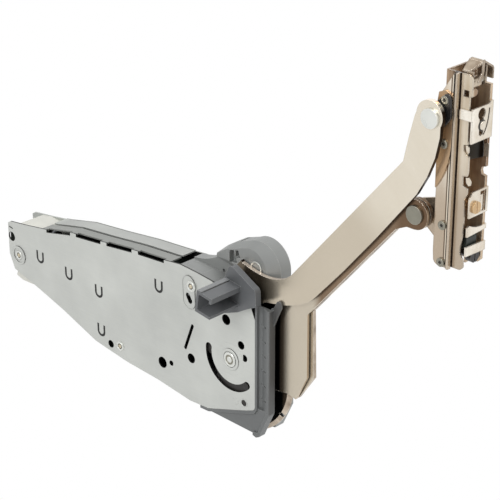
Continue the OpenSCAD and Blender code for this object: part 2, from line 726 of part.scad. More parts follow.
module channel() {
    f = channel_front;
    color([0.8, 0.76, 0.68]) at_bracket() difference() {
        union() {
            slab(channel_d0, channel_d0 + channel_t) near_wall_outline();
            slab(channel_d1 - far_wall_t, channel_d1)
                polygon([[channel_back, -channel_foot], [f - 2, -channel_foot], [f, -channel_foot + 2],
                    [f, -37], [f - 2.6, -36.4], [f - 3.4, -34], [f - 2.6, -31.6], [f, -31], [f, 19.2],
                    [f - 9.6, 19.2], [f - 11, channel_top], [channel_back, channel_top]]);
            slab(channel_d0, channel_d1)
                polygon([[channel_back, -channel_foot], [channel_back + channel_t, -channel_foot],
                    [channel_back + channel_t, channel_top], [channel_back, channel_top]]);
            cross_plate(f - 6.2, f - 5)
                polygon([[channel_d0 + 9, -91], [channel_d1, -91], [channel_d1, -80.5],
                    [channel_d0 + 9, -80.5]]);
            cross_plate(f - 1.6, f) polygon(concat([[channel_d0, 15.4], [channel_d0, 19.6]],
                arc([channel_d0 + 3, 17.5], 2.1, 90, -90, 6)));
        }
        for (s = screw_places) {
            slab(14, 17) stadium([s[0], s[1] - 2], [s[0], s[1] + 2], 1.9);
            slab(channel_d0 + channel_t, 18.4) translate([channel_back - 1, s[1] - 5])
                square([3, 10]);
        }
        slab(14, 16.4) translate([f - 6.4, 14.6]) square([4.2, 4]);
        long_bar(f - 8, f - 4, side_screw_p[0], side_screw_p[1], 2.5 + run_gap);
    }
}

module keyhole_plate() {
    hole_z = 3.8;
    color([0.78, 0.74, 0.66]) at_bracket() {
        difference() {
            cross_plate(channel_front, front_plate)
                polygon([[channel_d0, -12.6], [channel_d1, -12.6], [channel_d1, 9.6],
                    [channel_d1 - 2.6, 9.6], [channel_d1 - 3.2, 8.2], [channel_d0, 8.2]]);
            cross_plate(channel_front - 1, front_plate + 1) {
                translate([keyhole_d, hole_z]) circle(keyhole_r);
                stadium([keyhole_d, -7.6], [keyhole_d, hole_z], 1.9);
                polygon(concat(curve([keyhole_d + 7.6, 5.6], [keyhole_d + 6.8, -5.6], [keyhole_d + 2.6, -9.6]),
                    curve([keyhole_d + 1.6, -8.9], [keyhole_d + 5.7, -5.2], [keyhole_d + 6.4, 5.8])));
            }
        }
        slab(channel_d0 - 0.9, channel_d0 - 0.1)
            polygon([[channel_front - 7.6, 1], [front_plate, 1], [front_plate, 7.4],
                [channel_front - 6.6, 7.4], [channel_front - 7.6, 6.4]]);
        cross_plate(channel_front, front_plate)
            polygon([[channel_d0 - 0.9, 1], [channel_d0, 1], [channel_d0, 7.4], [channel_d0 - 0.9, 7.4]]);
    }
}

module lock_finger() {
    color([0.75, 0.75, 0.72]) at_bracket() cross_plate(front_plate, front_plate + 0.6)
        polygon(concat([[keyhole_d + 2.2, -11], [keyhole_d + 5, -11], [keyhole_d + 5, -2.6]],
            arc([keyhole_d + 3.6, -2.6], 1.4, 0, 180, 8)));
}

module eccentric_plate() {
    w0 = eccentric_p[0] + 4.6;
    color([0.72, 0.68, 0.6]) at_bracket() {
        difference() {
            cross_plate(channel_front, front_plate)
                polygon([[channel_d0 + 1.8, -59], [channel_d1, -59], [channel_d1, -43.2],
                    [channel_d0 + 4.6, -43.2], [channel_d0 + 1.8, -47]]);
            long_bar(channel_front - 1, front_plate + 1, eccentric_p[0], eccentric_p[1], 3 + run_gap);
            cross_plate(channel_front - 1, front_plate + 1)
                polygon([[w0, -57.6], [channel_d1 - 1.8, -57.6], [channel_d1 - 1.8, -44.6],
                    [w0, -44.6]]);
        }
        cross_plate(channel_front - 0.4, channel_front + 0.2)
            polygon([[w0 + 1.4, -58.4], [channel_d1 - 3.4, -58.4], [channel_d1 - 3.4, -47.4],
                [w0 + 1.4, -47.4]]);
    }
}

module height_eccentric() {
    head_t = 1.5;
    color([0.72, 0.56, 0.3]) at_bracket() difference() {
        union() {
            long_bar(7, front_plate + 0.1, eccentric_p[0], eccentric_p[1], 3);
            long_bar(front_plate + 0.1, front_plate + 0.1 + head_t, eccentric_p[0], eccentric_p[1], 3.8);
        }
        long_bar(front_plate + 1.1, front_plate + 3, eccentric_p[0], eccentric_p[1], 0.9);
        translate([front_plate + 1.1, eccentric_p[0] - body_d - 0.4, eccentric_p[1] - 7])
            cube([3, 0.8, 14]);
    }
}

module cross_bars() {
    color([0.74, 0.7, 0.62]) at_bracket() cross_plate(channel_front, front_plate) {
        polygon(concat([[channel_d0 + 1, -70.6], [channel_d0 + 1, -64.6]],
            curve([channel_d0 + 3, -63.8], [channel_d1 - 8, -68], [channel_d1, -66.6]),
            [[channel_d1, -69.8]]));
        polygon([[channel_d0 + 0.6, -82.8], [channel_d1, -83.6], [channel_d1, -77.6],
            [channel_d0 + 0.6, -76.8]]);
    }
}

module side_screw() {
    color([0.8, 0.8, 0.77]) at_bracket() difference() {
        union() {
            long_bar(7, channel_front - 4.9, side_screw_p[0], side_screw_p[1], 2.5);
            long_bar(channel_front - 4.9, channel_front - 0.4, side_screw_p[0], side_screw_p[1], 4.3);
        }
        translate([channel_front - 1.6, side_screw_p[0] - body_d - 0.5, side_screw_p[1] - 7])
            cube([3, 1, 14]);
    }
}

// the roof-shaped hook, its finger and the barrel on which it swings
module release_hook() {
    ears = [[channel_d0 + 2, 29.3], [channel_d1 - 5, 31.4]];
    apex_d = channel_d0 + 8.3;
    right_d = channel_d1 - 0.3;
    color([0.8, 0.77, 0.7]) at_bracket() difference() {
        union() {
            difference() {
                cross_plate(channel_front - 9, channel_front + 0.4)
                    polygon([[channel_d0 + 1.6, 28.6], [apex_d - 0.8, 34.4], [apex_d + 1.6, 34.9],
                        [right_d - 1, 30.2], [right_d, 28.6], [right_d, 22.4], [right_d - 1, 22.4],
                        [right_d - 1, 28.3], [right_d - 1.8, 29.3], [apex_d + 1.5, 33.8],
                        [apex_d - 0.4, 33.4], [channel_d0 + 2.4, 27.8]]);
                translate([channel_front - 8, channel_d0 - body_d - 1, 20]) rotate([0, 0, 45])
                    translate([0, -20, 0]) cube([30, 20, 20]);
            }
            for (e = ears) slab(e[0], e[0] + 1.2) {
                translate(hook_pivot) circle(3);
                polygon([hook_pivot + [-3, 0], hook_pivot + [2.9, 0], [channel_front - 1.5, 28],
                    [channel_front - 1.5, e[1]], [channel_front - 8, e[1]]]);
            }
            disc(hook_pivot, 3.4, ears[0][0], ears[0][0] + 8);
            cross_plate(channel_front + 0.3, channel_front + 1)
                polygon([[apex_d - 0.6, 35.6], [apex_d + 0.8, 35.6], [apex_d + 0.4, 29], [apex_d - 0.6, 24.4],
                    [apex_d - 4.4, 23], [apex_d - 4.8, 24.2], [apex_d - 1.6, 28]]);
        }
        disc(hook_pivot, 1.5 + run_gap, 14, channel_d1 + 1);
    }
}

module hook_pin() {
    color([0.75, 0.75, 0.72]) at_bracket()
        disc(hook_pivot, 1.5, channel_d0 + channel_t, channel_d1 - far_wall_t);
}

near_plate();
wall_plate();
front_cover();
body_block();
far_block();
nose_cap();
cap_rivet();
spring_seat();
guide_rods();
compression_springs();
slider();
cam_roller();
roller_pin();
cam_rocker();
slot_pin();
drive_stud();
coupling_link();
rocker_link_pin();
lever_link_pin();
pivot_axle();
shaft_socket();
plate_rivets();
lower_pivot();
upper_lever();
face_plate();
back_plate();
plate_pair_rivets();
bracket_rivet();
bracket_washers();
lower_rivet();
lower_spacer();
side_plate();
ear_plate();
pivot_boss();
bracket_screws();
channel();
keyhole_plate();
lock_finger();
eccentric_plate();
height_eccentric();
cross_bars();
side_screw();
release_hook();
hook_pin();
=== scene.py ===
import bpy
import bmesh
import math
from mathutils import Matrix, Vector


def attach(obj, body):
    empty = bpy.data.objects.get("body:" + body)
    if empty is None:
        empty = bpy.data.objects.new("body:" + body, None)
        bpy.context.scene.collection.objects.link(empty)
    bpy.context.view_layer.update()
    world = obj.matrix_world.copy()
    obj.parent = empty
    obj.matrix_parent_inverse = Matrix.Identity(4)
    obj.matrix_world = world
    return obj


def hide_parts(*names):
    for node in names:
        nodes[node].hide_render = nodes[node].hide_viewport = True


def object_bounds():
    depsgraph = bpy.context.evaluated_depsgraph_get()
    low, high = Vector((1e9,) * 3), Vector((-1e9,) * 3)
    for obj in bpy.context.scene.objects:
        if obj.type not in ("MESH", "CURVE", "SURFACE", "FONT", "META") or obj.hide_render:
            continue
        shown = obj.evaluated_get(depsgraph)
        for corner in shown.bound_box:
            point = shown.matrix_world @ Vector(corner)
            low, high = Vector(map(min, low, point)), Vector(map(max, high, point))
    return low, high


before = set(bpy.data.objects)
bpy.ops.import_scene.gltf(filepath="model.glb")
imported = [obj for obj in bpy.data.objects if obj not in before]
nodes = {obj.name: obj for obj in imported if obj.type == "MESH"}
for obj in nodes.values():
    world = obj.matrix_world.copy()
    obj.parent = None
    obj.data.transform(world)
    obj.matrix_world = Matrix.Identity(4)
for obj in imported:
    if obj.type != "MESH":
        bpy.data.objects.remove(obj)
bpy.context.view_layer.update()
print("frame loaded:", len(nodes), "nodes")


def mm(x, y, z):
    # places are written in millimetres and the scene is in metres
    return Vector((x, y, z)) / 1000


# what all finishes share: rounding that only light sees, the grain's height and the strength of the painted
# dark reflection along the rims
cornerRadius = 0.0003
grainHeight = 0.0002
rimStrength = 1.6
bevelSamples = 4


# shared shader effects, each a node group with named inputs
def newGroup(name, inputs, outputs):
    group = bpy.data.node_groups.new(name, "ShaderNodeTree")
    for label, value in inputs.items():
        socket = group.interface.new_socket(label, in_out="INPUT", socket_type="NodeSocketFloat")
        socket.default_value = value
    for label in outputs:
        group.interface.new_socket(label, in_out="OUTPUT", socket_type="NodeSocketFloat")
    return group, group.nodes.new("NodeGroupInput"), group.nodes.new("NodeGroupOutput")


def addNode(tree, kind, values=None, **settings):
    made = tree.nodes.new(kind)
    for key, value in settings.items():
        setattr(made, key, value)
    for key, value in (values or {}).items():
        made.inputs[key].default_value = value
    return made


def joinRamp(group, given, result, value, label):
    # sends a value out of a group, smoothed from 0 at its Start input to 1 at its End input
    ramp = addNode(group, "ShaderNodeMapRange", interpolation_type="SMOOTHSTEP")
    group.links.new(value, ramp.inputs["Value"])
    group.links.new(given.outputs["Start"], ramp.inputs["From Min"])
    group.links.new(given.outputs["End"], ramp.inputs["From Max"])
    group.links.new(ramp.outputs["Result"], result.inputs[label])
    return ramp


def alongDirection(group, given, vector):
    # how far a vector goes along the direction in the group's Along inputs
    line = addNode(group, "ShaderNodeCombineXYZ")
    dot = addNode(group, "ShaderNodeVectorMath", operation="DOT_PRODUCT")
    for axis in "XYZ":
        group.links.new(given.outputs["Along " + axis], line.inputs[axis])
    group.links.new(vector, dot.inputs[0])
    group.links.new(line.outputs[0], dot.inputs[1])
    return dot.outputs["Value"]


def makeDriftGroup():
    # slow change of tone over a surface, from 0 to 1 about the middle
    group, given, result = newGroup("toneDrift", {"Size": 20.0, "Contrast": 1.0}, ["Tone"])
    coords = addNode(group, "ShaderNodeTexCoord")
    noise = addNode(group, "ShaderNodeTexNoise", {"Detail": 4.0, "Roughness": 0.55})
    centre = addNode(group, "ShaderNodeMath", {1: 0.5}, operation="SUBTRACT")
    scaled = addNode(group, "ShaderNodeMath", operation="MULTIPLY")
    back = addNode(group, "ShaderNodeMath", {1: 0.5}, operation="ADD", use_clamp=True)
    group.links.new(coords.outputs["Object"], noise.inputs["Vector"])
    group.links.new(given.outputs["Size"], noise.inputs["Scale"])
    group.links.new(noise.outputs["Fac"], centre.inputs[0])
    group.links.new(centre.outputs[0], scaled.inputs[0])
    group.links.new(given.outputs["Contrast"], scaled.inputs[1])
    group.links.new(scaled.outputs[0], back.inputs[0])
    group.links.new(back.outputs[0], result.inputs["Tone"])
    return group


def makeGrainGroup():
    # fine moulded or blasted grain as a height
    group, given, result = newGroup("fineGrain", {"Size": 900.0, "Depth": 0.3}, ["Height"])
    coords = addNode(group, "ShaderNodeTexCoord")
    noise = addNode(group, "ShaderNodeTexNoise", {"Detail": 2.0, "Roughness": 0.6})
    scaled = addNode(group, "ShaderNodeMath", operation="MULTIPLY")
    group.links.new(coords.outputs["Object"], noise.inputs["Vector"])
    group.links.new(given.outputs["Size"], noise.inputs["Scale"])
    group.links.new(noise.outputs["Fac"], scaled.inputs[0])
    group.links.new(given.outputs["Depth"], scaled.inputs[1])
    group.links.new(scaled.outputs[0], result.inputs["Height"])
    return group


def makeBrushGroup():
    # long thin lines along a direction in the side view, as rolling and polishing leave
    group, given, result = newGroup("rollingLines", {"Angle": 0.0, "Size": 60.0, "Stretch": 30.0}, ["Line"])
    coords = addNode(group, "ShaderNodeTexCoord")
    turn = addNode(group, "ShaderNodeVectorRotate", rotation_type="Y_AXIS")
    part = addNode(group, "ShaderNodeSeparateXYZ")
    thin = addNode(group, "ShaderNodeMath", operation="MULTIPLY")
    joined = addNode(group, "ShaderNodeCombineXYZ")
    noise = addNode(group, "ShaderNodeTexNoise", {"Detail": 3.0, "Roughness": 0.7})
    group.links.new(coords.outputs["Object"], turn.inputs["Vector"])
    group.links.new(given.outputs["Angle"], turn.inputs["Angle"])
    group.links.new(turn.outputs[0], part.inputs[0])
    group.links.new(part.outputs["Z"], thin.inputs[0])
    group.links.new(given.outputs["Stretch"], thin.inputs[1])
    group.links.new(part.outputs["X"], joined.inputs["X"])
    group.links.new(part.outputs["Y"], joined.inputs["Y"])
    group.links.new(thin.outputs[0], joined.inputs["Z"])
    group.links.new(joined.outputs[0], noise.inputs["Vector"])
    group.links.new(given.outputs["Size"], noise.inputs["Scale"])
    group.links.new(noise.outputs["Fac"], result.inputs["Line"])
    return group


def makeEdgeGroup():
    # 1 along outer edges, 0 on flats: the mask of a painted highlight along the edges
    group, given, result = newGroup("edgeHighlight", {"Width": 0.0005, "Strength": 2.5}, ["Edge"])
    bevel = addNode(group, "ShaderNodeBevel", samples=bevelSamples)
    shape = addNode(group, "ShaderNodeNewGeometry")
    dot = addNode(group, "ShaderNodeVectorMath", operation="DOT_PRODUCT")
    flip = addNode(group, "ShaderNodeMath", {0: 1.0}, operation="SUBTRACT")
    gain = addNode(group, "ShaderNodeMath", operation="MULTIPLY", use_clamp=True)
    group.links.new(given.outputs["Width"], bevel.inputs["Radius"])
    group.links.new(bevel.outputs[0], dot.inputs[0])
    group.links.new(shape.outputs["Normal"], dot.inputs[1])
    group.links.new(dot.outputs["Value"], flip.inputs[1])
    group.links.new(flip.outputs[0], gain.inputs[0])
    group.links.new(given.outputs["Strength"], gain.inputs[1])
    group.links.new(gain.outputs[0], result.inputs["Edge"])
    return group


def makeShadeGroup():
    # 0 to 1 between two places along a direction through the object
    group, given, result = newGroup("alongShade", {"Along X": 0.0, "Along Y": 0.0, "Along Z": 0.0,
                                                   "Start": 0.0, "End": 1.0, "Waver": 0.0}, ["Shade"])
    coords = addNode(group, "ShaderNodeTexCoord")
    noise = addNode(group, "ShaderNodeTexNoise", {"Scale": 45.0, "Detail": 2.0})
    shift = addNode(group, "ShaderNodeMath", operation="MULTIPLY_ADD")
    group.links.new(coords.outputs["Object"], noise.inputs["Vector"])
    group.links.new(noise.outputs["Fac"], shift.inputs[0])
    group.links.new(given.outputs["Waver"], shift.inputs[1])
    group.links.new(alongDirection(group, given, coords.outputs["Object"]), shift.inputs[2])
    joinRamp(group, given, result, shift.outputs[0], "Shade")
    return group


def makeFacingGroup():
    # 1 on faces that look along a direction of the object, 0 on the others
    group, given, result = newGroup("facingWay", {"Along X": 0.0, "Along Y": 0.0, "Along Z": 0.0,
                                                  "Start": 0.2, "End": 0.5}, ["Mask"])
    coords = addNode(group, "ShaderNodeTexCoord")
    joinRamp(group, given, result, alongDirection(group, given, coords.outputs["Normal"]), "Mask")
    return group


def makeCutGroup():
    # 1 on the cut walls of a sheet that lies in the side view, 0 on its two flat faces
    group, given, result = newGroup("cutWall", {"Start": 0.4, "End": 0.7}, ["Mask"])
    coords = addNode(group, "ShaderNodeTexCoord")
    part = addNode(group, "ShaderNodeSeparateXYZ")
    size = addNode(group, "ShaderNodeMath", operation="ABSOLUTE")
    group.links.new(coords.outputs["Normal"], part.inputs[0])
    group.links.new(part.outputs["Y"], size.inputs[0])
    ramp = joinRamp(group, given, result, size.outputs[0], "Mask")
    ramp.inputs["To Min"].default_value = 1.0
    ramp.inputs["To Max"].default_value = 0.0
    return group


effects = {"drift": makeDriftGroup(), "grain": makeGrainGroup(), "brush": makeBrushGroup(),
           "edge": makeEdgeGroup(), "shade": makeShadeGroup(), "facing": makeFacingGroup(),
           "cut": makeCutGroup()}
print("shader effects built:", len(effects))


def placeEffect(tree, name, values):
    made = tree.nodes.new("ShaderNodeGroup")
    made.node_tree = effects[name]
    for key, value in values.items():
        made.inputs[key].default_value = value
    return made


def linear(r, g, b):
    def one(c):
        c /= 255
        return c / 12.92 if c <= 0.04045 else ((c + 0.055) / 1.055) ** 2.4
    return (one(r), one(g), one(b), 1.0)


def layTone(tree, ground, mask, toned, vary):
    # mixes a tone, or a pair of tones that vary, over the ground colour where the mask is 1
    over = addNode(tree, "ShaderNodeMix", data_type="RGBA")
    if isinstance(toned[0], tuple):
        pair = addNode(tree, "ShaderNodeMix", data_type="RGBA")
        pair.inputs["A"].default_value = linear(*toned[0])
        pair.inputs["B"].default_value = linear(*toned[1])
        tree.links.new(vary, pair.inputs["Factor"])
        tree.links.new(pair.outputs["Result"], over.inputs["B"])
    else:
        over.inputs["B"].default_value = linear(*toned)
    tree.links.new(mask, over.inputs["Factor"])
    tree.links.new(ground, over.inputs["A"])
    return over.outputs["Result"]


def alongValues(along, start, end, **others):
    return {"Along X": along[0], "Along Y": along[1], "Along Z": along[2],
            "Start": start, "End": end, **others}


def addLines(tree, look, drift):
    # rolling or polishing lines mixed with the slow drift: the colour's and the roughness's factors
    lines = placeEffect(tree, "brush", {"Angle": look["brushAngle"], "Size": look.get("brushSize", 60.0),
                                        "Stretch": look.get("brushStretch", 30.0)})
    blend = addNode(tree, "ShaderNodeMix", {"Factor": look.get("brushShare", 0.4)}, data_type="FLOAT")
    tree.links.new(drift, blend.inputs["A"])
    tree.links.new(lines.outputs["Line"], blend.inputs["B"])
    spread = addNode(tree, "ShaderNodeMapRange", {"From Min": look.get("bandLow", 0.3),
                                                  "From Max": look.get("bandHigh", 0.7)})
    tree.links.new(blend.outputs["Result"], spread.inputs["Value"])
    return spread.outputs["Result"], lines.outputs["Line"]


def layTones(tree, look, ground, vary):
    # the tones that lie over the ground colour, in their order
    # painted shade on the cut walls of a sheet
    if "cutShadeTone" in look:   # the cut walls of a sheet
        walls = placeEffect(tree, "cut", {})
        ground = layTone(tree, ground, walls.outputs["Mask"], look["cutShadeTone"], vary)
    # tones along a direction: mostly painted shade, some giving a plain tone back past it
    for toned, along, start, end, waver in look.get("shades", []):
        ramp = placeEffect(tree, "shade", alongValues(along, start, end, Waver=waver))
        ground = layTone(tree, ground, ramp.outputs["Shade"], toned, vary)
    # a painted dark reflection in a band just inside the edges
    if "rim" in look:   # a dark band just inside the edges, as bright stamped sheet mirrors
        rim = placeEffect(tree, "edge", {"Width": look.get("rimWidth", 0.0011),
                                         "Strength": rimStrength})
        ground = layTone(tree, ground, rim.outputs["Edge"], look["rim"], vary)
    # a painted highlight along the outer edges, in the edge tone
    edge = placeEffect(tree, "edge", {"Width": look.get("edgeWidth", 0.0005),
                                      "Strength": look.get("edgeHighlight", 2.0)})
    ground = layTone(tree, ground, edge.outputs["Edge"], look["edge"], vary)
    # tones on faces that look one way: painted light and shade
    for toned, along, start, end in look.get("faces", []):
        mask = placeEffect(tree, "facing", alongValues(along, start, end))
        ground = layTone(tree, ground, mask.outputs["Mask"], toned, vary)
    return ground


def makeFinish(name, look):
    # one material from its dictionary: colour pair, drift, grain, rolling lines, painted shade and a painted
    # highlight along the edges
    material = bpy.data.materials.new(name)
    material.use_nodes = True
    tree = material.node_tree
    shader = tree.nodes["Principled BSDF"]
    drift = placeEffect(tree, "drift", {"Size": look.get("driftSize", 25.0),
                                        "Contrast": look.get("driftContrast", 1.5)})
    colourFactor = roughFactor = drift.outputs["Tone"]
    if "brushAngle" in look:
        colourFactor, roughFactor = addLines(tree, look, drift.outputs["Tone"])
    tone = addNode(tree, "ShaderNodeMix", data_type="RGBA")
    tone.inputs["A"].default_value = linear(*look["dark"])
    tone.inputs["B"].default_value = linear(*look["light"])
    tree.links.new(colourFactor, tone.inputs["Factor"])
    ground = layTones(tree, look, tone.outputs["Result"], colourFactor)
    tree.links.new(ground, shader.inputs["Base Color"])
    rough = addNode(tree, "ShaderNodeMapRange", {"To Min": look["rough"][0], "To Max": look["rough"][1]})
    tree.links.new(roughFactor, rough.inputs["Value"])
    tree.links.new(rough.outputs["Result"], shader.inputs["Roughness"])
    shader.inputs["Metallic"].default_value = look.get("metallic", 0.0)
    grain = placeEffect(tree, "grain", {"Size": look.get("grainSize", 900.0)})
    bump = addNode(tree, "ShaderNodeBump", {"Strength": look["bump"], "Distance": grainHeight})
    soft = addNode(tree, "ShaderNodeBevel", {"Radius": cornerRadius}, samples=bevelSamples)
    tree.links.new(soft.outputs[0], bump.inputs["Normal"])
    tree.links.new(grain.outputs["Height"], bump.inputs["Height"])
    tree.links.new(bump.outputs["Normal"], shader.inputs["Normal"])
    return material


